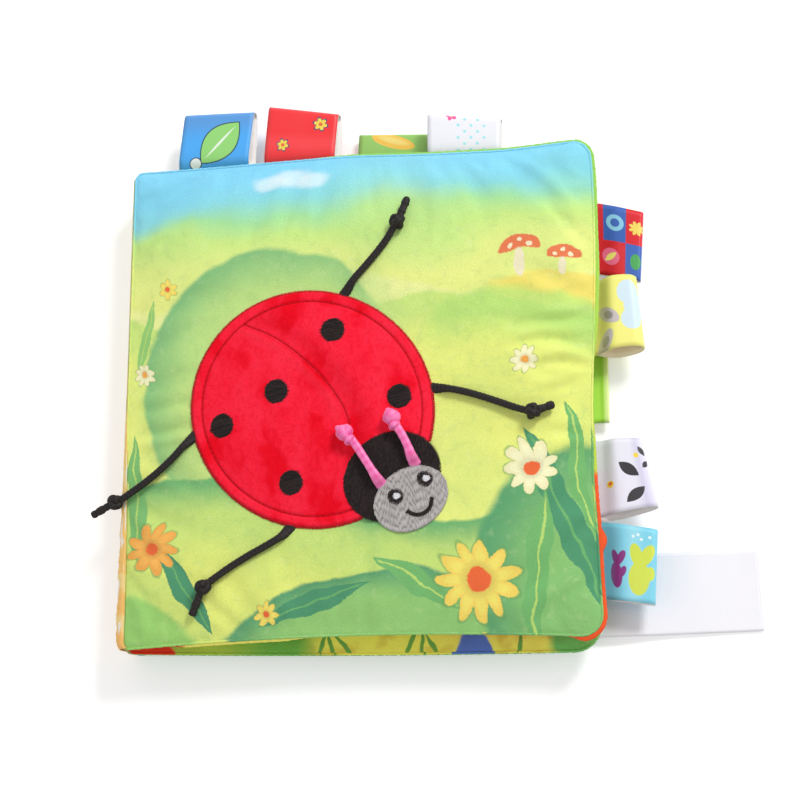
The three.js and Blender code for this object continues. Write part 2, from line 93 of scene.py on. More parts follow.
cover_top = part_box("cover_outer_cloth")[1].z
cover_level = (cover_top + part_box("cover_inner_cloth")[0].z) / 2
leaf_crown = cover_top - cover_level
middle_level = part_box("middle_leaf_front_cloth")[1].z - leaf_crown
back_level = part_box("back_cover_inner_cloth")[1].z - leaf_crown


def eased(value, pairs):
    """A level read off (place, level) pairs, with their corners rounded."""
    marks, levels = zip(*pairs)
    return sum(np.interp(value + step, marks, levels) for step in (-4, 0, 4)) / 3


def smooth_step(value, start, end):
    share = np.clip((value - start) / (end - start), 0, 1)
    return share * share * (3 - 2 * share)


def linear(red, green, blue):
    """A colour as a screen shows it, 0 to 255, in the linear values that shaders take."""
    values = []
    for level in (red, green, blue):
        share = level / 255
        values.append(share / 12.92 if share <= 0.04045 else ((share + 0.055) / 1.055) ** 2.4)
    return (*values, 1)


def in_rows(*parts):
    """Arrays of one shape as the columns of a table, with a row for each point."""
    return np.stack(np.broadcast_arrays(*parts), axis=-1).reshape(-1, len(parts))


def unit_rows(table):
    return table / np.linalg.norm(table, axis=1)[:, None]


def run_along(route):
    """How far along the route each of its points is."""
    return np.concatenate([[0], np.cumsum(np.linalg.norm(np.diff(route, axis=0), axis=1))])


def round_angles(count):
    return np.arange(count) * 2 * math.pi / count


# Meshes

def mesh_object(name, points, faces, smooth=True):
    mesh = bpy.data.meshes.new(name)
    mesh.from_pydata([tuple(p) for p in points], [], [tuple(f) for f in faces])
    mesh.update()
    mesh.polygons.foreach_set("use_smooth", [smooth] * len(mesh.polygons))
    made = bpy.data.objects.new(name, mesh)
    bpy.context.scene.collection.objects.link(made)
    return made


def mesh_points(mesh):
    points = np.zeros(len(mesh.vertices) * 3)
    mesh.vertices.foreach_get("co", points)
    return points.reshape(-1, 3)


def ring_faces(rings, sides, start=0, closed=False):
    """Faces between rings of that many points, and from the last ring to the first where closed."""
    faces = []
    for ring in range(rings if closed else rings - 1):
        here = start + ring * sides
        there = start + (ring + 1) % rings * sides
        for side in range(sides):
            after = (side + 1) % sides
            faces.append((here + side, here + after, there + after, there + side))
    return faces


def set_cloth_places(piece, places_mm):
    """Writes where each point lies on the flat cloth, in millimetres."""
    attribute = piece.data.attributes.new("cloth_mm", "FLOAT_VECTOR", "POINT")
    values = np.zeros((len(piece.data.vertices), 3), np.float32)
    places = np.asarray(places_mm, float)
    values[:, : places.shape[1]] = places
    attribute.data.foreach_set("vector", values.ravel())


def places_from_shape(piece):
    """The cloth's places are the piece's own points."""
    set_cloth_places(piece, mesh_points(piece.data) / MM)


def set_shades(piece, shades):
    """Writes one number from 0 to 1 for each point, by which a thread or the plush is lighter or darker: a
    thread's own tone, and painted shade and highlight.
    """
    attribute = piece.data.attributes.new("shade", "FLOAT", "POINT")
    attribute.data.foreach_set("value", np.asarray(shades, np.float32))


def subdivide(piece):
    piece.modifiers.new("subdivision", "SUBSURF").levels = 1
    depsgraph = bpy.context.evaluated_depsgraph_get()
    mesh = bpy.data.meshes.new_from_object(piece.evaluated_get(depsgraph), depsgraph=depsgraph)
    piece.modifiers.clear()
    piece.data = mesh


def finished(piece, material, body, slot, *nodes):
    piece.data.materials.append(material)
    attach(piece, body)
    if nodes:
        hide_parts(*nodes)


# Materials: small sums over the place on the cloth

class Term:
    """A number in a material. Sums of terms and plain numbers become Math nodes."""

    def __init__(self, tree, socket):
        self.tree = tree
        self.socket = socket

    def __add__(self, other):
        return math_node("ADD", self, other)

    def __sub__(self, other):
        return math_node("SUBTRACT", self, other)

    def __rsub__(self, other):
        return math_node("SUBTRACT", other, self)

    def __mul__(self, other):
        return math_node("MULTIPLY", self, other)

    def __truediv__(self, other):
        return math_node("DIVIDE", self, other)


def feed(tree, socket, value):
    """Links an input to the term or socket that it is given, or else sets it to the value."""
    value = value.socket if isinstance(value, Term) else value
    if isinstance(value, bpy.types.NodeSocket):
        tree.links.new(value, socket)
    else:
        socket.default_value = value


def add_node(tree, kind, inputs, **settings):
    """A shader node, with what its inputs are fed, by name or number."""
    node = tree.nodes.new("ShaderNode" + kind)
    for name, value in settings.items():
        setattr(node, name, value)
    for key, value in inputs.items():
        feed(tree, node.inputs[key], value)
    return node


def math_node(operation, *values):
    tree = next(value.tree for value in values if isinstance(value, Term))
    return Term(tree, add_node(tree, "Math", dict(enumerate(values)), operation=operation).outputs[0])


def sine(term):
    return math_node("SINE", term)


def size_of(term):
    return math_node("ABSOLUTE", term)


def fade(term, start, end):
    """0 where term is at start, 1 where it is at end, smooth between them."""
    node = add_node(term.tree, "MapRange", {"Value": term, "From Min": start, "From Max": end},
                    interpolation_type="SMOOTHSTEP")
    return Term(term.tree, node.outputs["Result"])


class Cloth:
    """What a print is drawn in: the flat cloth's places, and the colour so far."""

    def __init__(self, tree, vector):
        self.tree = tree
        self.colour = None
        self.read_places(vector)

    def read_places(self, vector):
        self.vector = vector
        self.x, self.y = self.parts(vector)

    def node(self, kind, inputs, **settings):
        return add_node(self.tree, kind, inputs, **settings)

    def parts(self, vector):
        outputs = self.node("SeparateXYZ", {0: vector}).outputs
        return Term(self.tree, outputs[0]), Term(self.tree, outputs[1])

    def noise(self, scale, detail=2.0, offset=0.0, stretch=(1, 1, 1)):
        """Smooth noise, about 0.5, with features about 1 / scale millimetres wide."""
        moved = self.node("Mapping", {"Vector": self.vector, "Location": [offset] * 3, "Scale": stretch})
        noise = self.node("TexNoise", {"Vector": moved.outputs[0], "Scale": scale, "Detail": detail})
        return Term(self.tree, noise.outputs["Fac"])

    def warp(self, scale, amount):
        """Moves every place by up to half that many millimetres, so that what is drawn next looks painted."""
        noise = self.node("TexNoise", {"Vector": self.vector, "Scale": scale, "Detail": 2})
        shift = self.node("VectorMath", {0: noise.outputs["Color"], 1: (2 * amount, 2 * amount, 0),
                                         2: (-amount, -amount, 0)}, operation="MULTIPLY_ADD")
        moved = self.node("VectorMath", {0: self.vector, 1: shift.outputs[0]}, operation="ADD")
        self.read_places(moved.outputs[0])

    def turned(self, place, size=(1, 1), degrees=0.0):
        """The places as seen from a motif's own middle, turn and size."""
        moved = self.node("Mapping", {
            "Vector": self.vector, "Location": (*place, 0), "Rotation": (0, 0, math.radians(degrees)),
            "Scale": (*size, 1),
        }, vector_type="TEXTURE")
        return self.node("VectorMath", {0: moved.outputs[0], 1: (1, 1, 0)}, operation="MULTIPLY").outputs[0]

    def length(self, vector):
        return Term(self.tree, self.node("VectorMath", {0: vector}, operation="LENGTH").outputs["Value"])

    def oval(self, place, size, degrees=0.0, soft=0.08):
        reach = self.length(self.turned(place, size, degrees))
        return fade(reach, 1 + soft / 2, 1 - soft / 2)

    def leaf(self, place, size, degrees):
        """How far inside a leaf with two pointed ends, and how far across it."""
        along, across = self.parts(self.turned(place, size, degrees))
        return 1 - along * along - size_of(across), size_of(across)

    def blade(self, place, size, degrees=0.0, soft=0.06):
        return fade(self.leaf(place, size, degrees)[0], -soft / 2, soft / 2)

    def petals(self, place, radius, count, degrees):
        """How far from a blossom's middle, in its radii, and how far past the rim of its petals."""
        vector = self.turned(place, (radius, radius), degrees)
        across, along = self.parts(vector)
        angle = math_node("ARCTAN2", along, across)
        reach = self.length(vector)
        return reach, reach - (size_of(sine(angle * (count / 2))) * 0.42 + 0.58)

    def blossom(self, place, radius, count=5, degrees=0.0):
        return fade(self.petals(place, radius, count, degrees)[1], 0.04, -0.04)

    def below(self, level, swell=0.0, wave_mm=60.0, shift=0.0, soft=1.5):
        """Below a rolling line across the cloth."""
        line = sine(self.x * (2 * math.pi / wave_mm) + shift) * swell + level
        return fade(line - self.y, -soft / 2, soft / 2)

    def plain(self, red, green, blue):
        self.colour = linear(red, green, blue)

    def fill(self, *stops, slope=0.0):
        """Colours up the cloth, each from its own height in millimetres, rising to the right by the slope."""
        low, high = stops[0][0], stops[-1][0]
        height = self.y - self.x * slope if slope else self.y
        ramp = self.node("ValToRGB", {"Fac": (height - low) / (high - low)})
        elements = ramp.color_ramp.elements
        while len(elements) < len(stops):
            elements.new(0.5)
        for element, (height, colour) in zip(elements, stops):
            element.position = (height - low) / (high - low)
            element.color = linear(*colour)
        self.colour = ramp.outputs["Color"]

    def over(self, mask, colour, strength=1.0):
        """Lays a colour over what is there, where the mask is 1."""
        mask = mask * strength if strength != 1 else mask
        node = self.node("Mix", {"Factor": mask, "A": self.colour, "B": linear(*colour)}, data_type="RGBA")
        self.colour = node.outputs["Result"]

    def ovals(self, *rows):
        """Each row: an oval's place, size, degrees and softness, its colour and strength."""
        for *shape, colour, strength in rows:
            self.over(self.oval(*shape), colour, strength)

    def hills(self, *rows):
        """Each row: a rolling line's level, swell, wave, shift and softness, its colour and strength."""
        for *line, colour, strength in rows:
            self.over(self.below(*line), colour, strength)

    def brighten(self, term):
        self.colour = self.node("HueSaturation", {"Value": term, "Color": self.colour}).outputs["Color"]


def new_material(name, settings):
    """A material with these settings on its shader's own sockets, and that shader."""
    material = bpy.data.materials.new(name)
    material.use_nodes = True
    shader = material.node_tree.nodes["Principled BSDF"]
    for socket, value in settings.items():
        shader.inputs[socket].default_value = value
    return material, shader


def cloth_material(name, painter, relief, roughness=0.85, sheen=0.0, grain=0.08, grain_scale=1.6,
                   specular=0.25, relief_depth=0.05 * MM, sheen_tint=(1, 1, 1, 1), anisotropy=0.0):
    """painter draws the print on a Cloth, and relief gives its fine height, 0 to 1."""
    material, shader = new_material(name, {
        "Roughness": roughness, "Specular IOR Level": specular, "Sheen Weight": sheen,
        "Sheen Roughness": 0.45, "Sheen Tint": sheen_tint, "Anisotropic": anisotropy,
    })
    tree = material.node_tree
    places = add_node(tree, "Attribute", {}, attribute_name="cloth_mm")
    cloth = Cloth(tree, places.outputs["Vector"])
    painter(cloth)
    if grain:
        cloth.brighten((cloth.noise(grain_scale, 3.0) - 0.5) * (2 * grain) + 1)
    feed(tree, shader.inputs["Base Color"], cloth.colour)
    bump = add_node(tree, "Bump", {"Distance": relief_depth, "Height": relief(cloth)})
    feed(tree, shader.inputs["Normal"], bump.outputs["Normal"])
    return material


def plain_weave(cloth):
    pitch = 0.62
    warp = sine(cloth.x * (2 * math.pi / pitch))
    weft = sine(cloth.y * (2 * math.pi / pitch))
    return warp * weft * 0.5 + cloth.noise(1.1, 3.0) * 1.4


def ribbed_weave(cloth):
    pitch = 0.45
    return sine(cloth.x * (2 * math.pi / pitch)) * 0.3 + cloth.noise(0.5, 2.0, stretch=(4, 0.5, 1))


def pile(cloth):
    return cloth.noise(1.9, 4.0) + cloth.noise(0.35, 2.0) * 1.5


def fine_thread(cloth):
    return cloth.noise(3.5, 2.0)


# The prints: places and sizes in millimetres on the flat cloth, colours as a screen shows them

def flower(cloth, place, radius, petal, middle, degrees=0.0, count=5):
    reach, beyond = cloth.petals(place, radius, count, degrees)
    light = [min(255, level * 1.04 + 12) for level in petal]
    shadow = [level * 0.88 for level in petal]
    for mask, colour, strength in (
        (fade(beyond, 0.12, 0.03), (110, 168, 96), 0.6),
        (fade(beyond, 0.03, -0.03), petal, 1),
        (fade(beyond, -0.06, -0.36), light, 0.7),
        (fade(reach, 0.52, 0.28), shadow, 0.6),
        (fade(reach, 0.29, 0.25), middle, 1),
    ):
        cloth.over(mask, colour, strength)


def grass_leaf(cloth, place, size, degrees, colour, rib):
    body, across = cloth.leaf(place, size, degrees)
    cloth.over(fade(body, -0.04, 0.04), colour)
    cloth.over(fade(across, 0.13, 0.05) * fade(body, 0.1, 0.3), rib, 0.8)


def mushroom(cloth, place, size):
    red, white = (238, 128, 84), (252, 240, 200)
    stem = (place[0], place[1] - size * 0.62)
    cloth.over(cloth.oval(stem, (size * 0.26, size * 0.6), soft=0.2), (246, 236, 200))
    cap = cloth.oval(place, (size, size * 0.66), soft=0.1)
    cut = fade(cloth.y, place[1] - size * 0.14, place[1] - size * 0.06)
    cloth.over(cap * cut, red)
    for across, up in ((-0.45, 0.12), (0.05, 0.34), (0.5, 0.08)):
        dot = (place[0] + across * size, place[1] + up * size)
        cloth.over(cloth.oval(dot, (size * 0.14, size * 0.12), soft=0.3), white)


def paint_cover(cloth):
    cloth.warp(0.05, 4.5)
    cloth.warp(1.1, 0.4)
    cloth.fill(
        (-83, (224, 242, 122)),
        (-30, (246, 249, 130)),
        (20, (246, 250, 144)),
        (48, (238, 248, 144)),
        (57, (210, 243, 140)),
        (64, (172, 233, 164)),
        (70.5, (148, 226, 226)),
        (83, (150, 228, 255)),
        slope=0.018,
    )
    cloth.ovals(
        ((-50, 79), (46, 8), 4, 1.2, (132, 217, 255), 0.6),
        ((60, 79), (34, 7), -2, 1.2, (134, 219, 255), 0.5),
        ((-78, 68), (24, 8), 6, 0.9, (136, 219, 246), 0.75),
        ((72, 72), (24, 8), 0, 0.9, (140, 221, 232), 0.5),
        ((17, 57), (24, 13), -6, 1.0, (204, 241, 142), 0.7),
    )
    cloth.hills(
        (37, 5, 120, 2.2, 3, (246, 250, 172), 0.6),
        (27, 6, 130, 0.3, 2, (214, 240, 132), 1),
        (16, 6, 130, 0.4, 14, (242, 249, 136), 0.9),
    )
    cloth.ovals(
        ((-29, 2), (44, 50), 10, 0.05, (124, 190, 128), 1),
        ((-25, 0), (43, 47), 10, 0.5, (190, 228, 138), 0.95),
        ((-20, -10), (38, 40), 10, 0.9, (226, 242, 138), 0.85),
        ((72, 31), (26, 6), -4, 0.3, (252, 232, 112), 0.9),
        ((74, 2), (54, 24), -24, 0.16, (188, 230, 122), 0.8),
        ((66, -8), (50, 22), -20, 0.6, (244, 249, 132), 0.9),
    )
    cloth.hills(
        (-36, 9, 190, 3.6, 1.6, (118, 186, 118), 1),
        (-42, 9, 190, 3.7, 12, (212, 237, 128), 0.9),
        (-58, 9, 190, 3.9, 26, (240, 247, 128), 0.9),
    )
    cloth.ovals(
        ((4, -84), (50, 22), 6, 0.06, (86, 158, 116), 1),
        ((6, -90), (48, 24), 6, 0.5, (158, 212, 122), 0.95),
        ((74, -66), (34, 46), 0, 0.1, (96, 168, 116), 1),
        ((80, -72), (30, 42), 0, 0.7, (150, 206, 122), 0.9),
        ((-80, -76), (34, 20), -24, 0.08, (222, 240, 128), 1),
        ((-82, -86), (34, 20), -20, 0.14, (164, 216, 116), 1),
    )
    below_sky = fade(cloth.y, 64, 54)
    for scale, offset, start, end, colour, strength in (
        (0.035, 0, 0.44, 0.64, (126, 198, 122), 0.12),
        (0.30, 5, 0.50, 0.72, (110, 180, 112), 0.13),
        (0.35, 15, 0.54, 0.78, (250, 250, 196), 0.14),
    ):
        cloth.over(fade(cloth.noise(scale, 3.0, offset), start, end) * below_sky, colour, strength)
    deep, mid, pale = (84, 156, 114), (122, 190, 114), (208, 234, 124)
    for row in (
        ((70, -44), (32, 5.0), 112, deep, mid),
        ((60, -60), (27, 4.4), 82, mid, pale),
        ((75, -28), (22, 3.4), 98, mid, pale),
        ((-75, -34), (24, 3.4), 96, (132, 196, 118), pale),
        ((-58, -64), (20, 3.8), 122, deep, mid),
        ((-74, 22), (15, 2.2), 82, (156, 212, 122), pale),
        ((-14, -72), (20, 3.8), 18, deep, mid),
        ((20, -66), (17, 3.4), 148, mid, pale),
    ):
        grass_leaf(cloth, *row)
    orange, amber, cream, coral = (250, 176, 84), (254, 222, 104), (250, 242, 190), (246, 112, 62)
    for row in (
        ((40, -66), 14.0, amber, coral, 30, 11),
        ((-68, -50), 9.5, orange, coral, 12, 9),
        ((59, -27), 8.6, cream, coral, 8, 9),
        ((-74, 9), 4.0, cream, orange, 40, 8),
        ((57, 9), 4.6, cream, orange, 20, 8),
        ((-30, -74), 4.4, amber, coral, 60, 7),
        ((-66, 40), 3.6, amber, coral, 0, 6),
    ):
        flower(cloth, *row)
    mushroom(cloth, (55, 45), 7.5)
    mushroom(cloth, (70, 42), 5.2)
    for place, size in (((-30, 76), 6.0), ((-23, 77.4), 7.0), ((-15.5, 76), 5.2)):
        cloth.over(cloth.oval(place, (size, size * 0.42), soft=0.9), (232, 250, 255), 0.7)


def paint_cover_lining(cloth):
    cloth.fill(
        (-83, (250, 92, 42)),
        (-31, (250, 96, 46)),
        (-29, (204, 222, 84)),
        (20, (180, 222, 88)),
        (83, (150, 212, 96)),
    )
    lower_end = fade(cloth.y, -64, -70)
    cloth.over(lower_end * fade(cloth.x, 34, 20), (248, 240, 112))
    cloth.over(lower_end * fade(cloth.x, -56.5, -60), (226, 52, 32))
    cloth.over(cloth.oval((10, 20), (40, 30), 20, soft=0.5), (250, 226, 120), 0.7)
    flower(cloth, (-20, -30), 16, (250, 240, 200), (240, 116, 66), 10)
    flower(cloth, (34, 34), 12, (246, 186, 86), (236, 84, 40), 30, 6)


def paint_middle_front(cloth):
    cloth.warp(0.12, 2.0)
    cloth.fill(
        (-83, (250, 246, 100)),
        (-60, (250, 250, 116)),
        (0, (206, 230, 118)),
        (50, (160, 216, 150)),
        (83, (140, 214, 236)),
    )
    cloth.over(fade(cloth.noise(0.10, 2.0), 0.5, 0.66) * fade(cloth.y, -50, -60), (226, 206, 76), 0.8)
    for start, end, colour in (
        (-12, -22, (120, 190, 78)),
        (-28, -50, (186, 216, 82)),
        (60, 65, (118, 200, 100)),
        (72, 76, (140, 216, 110)),
    ):
        cloth.over(fade(cloth.x, start, end), colour)
    cloth.ovals(
        ((-79, -88), (17, 12), 6, 0.08, (240, 62, 34), 1),
        ((37, -90), (7.2, 15), 4, 0.1, (92, 126, 204), 1),
    )
    for place, degrees, length in (
        ((-13, -80), 70, 6), ((-10, -81), 100, 7), ((-6, -80), 128, 5.5),
        ((16, -80), 60, 6), ((20, -81), 92, 7), ((23, -80), 120, 5.5), ((52, -80), 80, 7),
    ):
        cloth.over(cloth.blade(place, (length, 0.7), degrees, soft=0.3), (112, 172, 76))
    flower(cloth, (-30, 20), 18, (248, 226, 110), (236, 96, 52), 14)
    flower(cloth, (36, -14), 14, (250, 244, 214), (246, 186, 86), 40, 6)
    cloth.over(cloth.oval((20, 54), (24, 8), 0, soft=0.5), (240, 250, 252), 0.8)


def paint_middle_back(cloth):
    cloth.fill((-83, (150, 205, 92)), (0, (206, 230, 120)), (83, (150, 216, 238)))
    cloth.hills((-10, 9, 150, 1.0, 3, (128, 190, 104), 1))
    flower(cloth, (24, -40), 17, (244, 150, 150), (252, 222, 110), 22)
    flower(cloth, (-34, 6), 13, (250, 240, 200), (240, 116, 66), 0, 6)


def paint_back_inner(cloth):
    cloth.fill((-83, (88, 164, 106)), (-20, (150, 206, 112)), (30, (236, 92, 48)), (83, (238, 100, 56)))
    cloth.over(fade(cloth.y, 24, -10), (142, 198, 232), 0.8)
    flower(cloth, (0, -34), 20, (250, 214, 96), (240, 116, 66), 10)


def paint_back_outer(cloth):
    cloth.fill((-83, (240, 140, 56)), (0, (248, 176, 78)), (83, (250, 206, 110)))
    cloth.hills((-34, 8, 140, 0.6, 3, (132, 192, 96), 1))
    flower(cloth, (-30, 20), 15, (250, 240, 200), (236, 84, 40), 10)
    flower(cloth, (34, -10), 18, (236, 96, 60), (252, 222, 110), 34, 6)


def paint_spine(cloth):
    cloth.fill((-83, (255, 196, 112)), (-10, (255, 216, 128)), (20, (255, 232, 142)), (83, (238, 242, 148)))
    cloth.over(fade(cloth.noise(0.14, 2.0), 0.48, 0.62), (255, 228, 156), 0.8)
    glints = cloth.noise(0.22, 1.0, offset=40, stretch=(4, 0.45, 1))
    cloth.over(fade(glints, 0.60, 0.66), (255, 248, 240), 0.9)


leaf_materials = {
    name: cloth_material(name, painter, plain_weave, relief_depth=0.10 * MM, sheen=0.06, grain=0.11)
    for name, painter in (
        ("cover_print", paint_cover),
        ("cover_lining", paint_cover_lining),
        ("middle_front_print", paint_middle_front),
        ("middle_back_print", paint_middle_back),
        ("back_inner_print", paint_back_inner),
        ("back_outer_print", paint_back_outer),
        ("spine_cloth", paint_spine),
    )
}


def coloured(red, green, blue):
    return lambda cloth: cloth.plain(red, green, blue)


wadding_material = cloth_material("wadding", coloured(240, 238, 230), pile, roughness=1.0)
film_material = cloth_material(
    "crinkle_film", coloured(214, 222, 228), fine_thread, roughness=0.25, grain=0.02, specular=0.5,
)


# Cords first. Each route is in metres: where the cord comes out, the places on its way, its knot and its tip
leg_routes = {
    "leg_upper": (
        (-0.0037, 0.0346, 0.0217), (-0.0010, 0.0381, 0.0217), (0.0027, 0.0422, 0.0217),
        (0.0070, 0.0472, 0.0217), (0.0103, 0.0515, 0.0218), (0.0124, 0.0547, 0.0224),
        (0.0140, 0.0569, 0.0228), (0.0171, 0.0652, 0.0216),
    ),
    "leg_right": (
        (0.0268, -0.0005, 0.0217), (0.0302, -0.0010, 0.0217), (0.0356, -0.0023, 0.0217),
        (0.0414, -0.0042, 0.0217), (0.0472, -0.0064, 0.0217), (0.0521, -0.0084, 0.0219),
        (0.0557, -0.0097, 0.0223), (0.0584, -0.0104, 0.0227), (0.0649, -0.0081, 0.0213),
    ),
    "leg_left": (
        (-0.0560, -0.0134, 0.0217), (-0.0583, -0.0159, 0.0216), (-0.0619, -0.0198, 0.0214),
        (-0.0664, -0.0239, 0.0212), (-0.0714, -0.0276, 0.0207), (-0.0758, -0.0304, 0.0202),
        (-0.0796, -0.0326, 0.0196), (-0.0823, -0.0337, 0.0193), (-0.0887, -0.0369, 0.0186),
    ),
    "leg_lower": (
        (-0.0228, -0.0457, 0.0217), (-0.0250, -0.0481, 0.0217), (-0.0297, -0.0508, 0.0216),
        (-0.0355, -0.0538, 0.0215), (-0.0412, -0.0571, 0.0214), (-0.0455, -0.0600, 0.0216),
        (-0.0482, -0.0620, 0.0219), (-0.0503, -0.0637, 0.0223), (-0.0541, -0.0720, 0.0206),
    ),
}
tail_extra_mm = {"leg_upper": 0.4, "leg_right": 0.4, "leg_left": 2.0, "leg_lower": 0.8}
antenna_routes = {
    "antenna_left": (
        (0.0094, -0.0331, 0.0241), (0.0079, -0.0308, 0.0244), (0.0056, -0.0270, 0.0247),
        (0.0032, -0.0231, 0.0249), (0.0012, -0.0199, 0.0251), (-0.0005, -0.0176, 0.0251),
        (-0.0024, -0.0157, 0.0252), (-0.0060, -0.0126, 0.0248),
    ),
    "antenna_right": (
        (0.0201, -0.0264, 0.0241), (0.0191, -0.0239, 0.0242), (0.0179, -0.0204, 0.0244),
        (0.0162, -0.0168, 0.0246), (0.0144, -0.0138, 0.0247), (0.0129, -0.0112, 0.0247),
        (0.0127, -0.0066, 0.0244),
    ),
}


def smooth_route(points, spacing, closed=False):
    """Points about that far apart on a smooth curve through the given ones."""
    points = np.asarray(points, float)
    if closed:
        ring = np.vstack([points[-1], points, points[0], points[1]])
    else:
        ring = np.vstack([2 * points[0] - points[1], points, 2 * points[-1] - points[-2]])
    dense = []
    for first in range(1, len(ring) - 2):
        a, b, c, d = ring[first - 1: first + 3]
        steps = max(2, int(np.linalg.norm(c - b) / spacing * 4))
        for t in np.arange(steps) / steps:
            dense.append(0.5 * (2 * b + (c - a) * t + (2 * a - 5 * b + 4 * c - d) * t ** 2
                                + (3 * b - a - 3 * c + d) * t ** 3))
    dense.append(ring[-2])
    dense = np.array(dense)
    run = run_along(dense)
    count = max(2, round(run[-1] / spacing))
    marks = np.linspace(0, run[-1], count + 1)
    if closed:
        marks = marks[:-1]
    return in_rows(*(np.interp(marks, run, dense[:, i]) for i in range(3)))


def route_frames(route, closed=False, upright=False):
    """Directions across the route at each point, carried along without twist, or kept level."""
    if closed:
        ways = np.roll(route, -1, axis=0) - np.roll(route, 1, axis=0)
    else:
        ways = np.gradient(route, axis=0)
    ways = unit_rows(ways)
    if upright:
        sides = unit_rows(np.cross(ways, (0, 0, 1.0)))
        return sides, np.cross(ways, sides)
    start = np.array([0, 0, 1.0])
    if abs(ways[0] @ start) > 0.9:
        start = np.array([1.0, 0, 0])
    sides = []
    side = np.cross(ways[0], start)
    for way in ways:
        side = side - way * (side @ way)
        side /= np.linalg.norm(side)
        sides.append(side)
    sides = np.array(sides)
    return sides, np.cross(ways, sides)


def braided_tube(name, route, radii, closed=False, sides=16, plait_pitch=1.5 * MM, plait_depth=0.07,
                 flatness=1.0, upright=False):
    """A tube with the crossing strands of a braid raised on it, and a shade for each point by which the
    strands are painted lighter and the hollows between them darker: painted highlight and shade.
    """
    route = np.asarray(route, float)
    count = len(route)
    radii = np.broadcast_to(radii, (count,))[:, None]
    flatness = np.broadcast_to(flatness, (count,))[:, None]
    across, upward = route_frames(route, closed, upright)
    angles = round_angles(sides)
    phase = (run_along(route) / plait_pitch * math.pi)[:, None]
    plait = np.sin(2 * angles + phase) * np.sin(2 * angles - phase)
    radius = radii * (1 + plait_depth * plait)
    points = (
        route[:, None]
        + (radius * np.cos(angles))[..., None] * across[:, None]
        + (radius * flatness * np.sin(angles))[..., None] * upward[:, None]
    ).reshape(-1, 3)
    # Painted highlight on the raised strands and painted shade between them, for the materials that read the
    # shade
    shades = list((0.5 + 0.5 * plait).ravel())
    faces = ring_faces(count, sides, closed=closed)
    if not closed:
        points = np.vstack([points, route[:1], route[-1:]])
        shades += [0.5, 0.5]
        first, last_ring = count * sides, (count - 1) * sides
        for side in range(sides):
            after = (side + 1) % sides
            faces.append((first, after, side))
            faces.append((first + 1, last_ring + side, last_ring + after))
    made = mesh_object(name, points, faces)
    places_from_shape(made)
    set_shades(made, shades)
    return made


def knot_piece(name, middle, toward, width, length, radius, plait_depth, turn):
    """A pulled overhand knot: a trefoil of the same cord, its axis along the cord."""
    spread = (width / 2 - radius) / 3
    rise = length / 2 - radius
    turns = round_angles(90)
    loop = in_rows(
        spread * (np.sin(turns) + 2 * np.sin(2 * turns)),
        spread * (np.cos(turns) - 2 * np.cos(2 * turns)),
        -rise * np.sin(3 * turns),
    )
    way = (Vector(toward) - Vector(middle)).normalized()
    rotation = way.to_track_quat("Z", "Y") @ Quaternion((0, 0, 1), turn)
    route = np.array([rotation @ Vector(point) + Vector(middle) for point in loop])
    return braided_tube(name, smooth_route(route, 0.45 * MM, closed=True), radius, closed=True,
                        plait_depth=plait_depth)


def shade_term(cloth):
    return Term(cloth.tree, cloth.node("Attribute", {}, attribute_name="shade").outputs["Fac"])


def paint_thread(dark, light):
    def painter(cloth):
        cloth.plain(*dark)
        cloth.over(shade_term(cloth), light)
    return painter


# Each cord's light colour is a painted highlight on the braid's raised strands, and its dark colour is
# painted shade between them
cord_black = cloth_material(
    "cord_black", paint_thread((7, 5, 5), (44, 37, 36)), fine_thread, roughness=0.6, sheen=0.03,
    relief_depth=0.04 * MM,
)
cord_pink = cloth_material(
    "cord_pink", paint_thread((238, 84, 158), (255, 140, 200)), fine_thread, roughness=0.42, sheen=0.3,
    relief_depth=0.03 * MM, specular=0.4,
)

cord_spacing = 0.35 * MM


def sewn_start(places, inward):
    """The route with its first stretch carried on under the cloth that it is sewn into."""
    first, second = Vector(places[0]), Vector(places[1])
    return [tuple(first + (first - second).normalized() * inward), *places]


def sunk_route(places, inward, depth, end):
    """A cord's route, lower by depth at its sewn end and free of the cloth from end on."""
    route = smooth_route(sewn_start(places, inward), cord_spacing)
    run = np.arange(len(route)) * cord_spacing
    sewn = 1 - smooth_step(run, 1.2 * MM, end)
    route[:, 2] -= depth * sewn
    return route, run, sewn


for name, places in leg_routes.items():
    tail_way = (Vector(places[-1]) - Vector(places[-2])).normalized()
    places = [*places[:-1], tuple(Vector(places[-1]) + tail_way * tail_extra_mm[name] * MM)]
    route, run, sewn = sunk_route(places, inward=3 * MM, depth=2.0 * MM, end=8 * MM)
    length = float(run_along(route)[-1])
    tail = run[-1] - run
    on_tail = smooth_step(tail, 7.5 * MM, 5 * MM)
    strand = 0.55 * MM
    fray = (0.10 + 0.10 * np.sin(run / strand)) * on_tail
    melted_end = 0.3 * MM
    melted = 0.4 * np.exp(-tail / melted_end)
    cord = braided_tube(name, route, leg_diameter / 2 * (1 + 0.6 * sewn + fray - melted),
                        flatness=0.9 - 0.4 * sewn, plait_depth=0.09)
    knot = knot_piece(name + "_tied_knot", places[-2], places[-1], width=5.7 * MM, length=4.6 * MM,
                      radius=1.25 * MM, plait_depth=0.09, turn=length * 40)
    finished(cord, cord_black, "cover", "cord_black", name + "_cord")
    finished(knot, cord_black, "cover", "cord_black", name + "_knot")

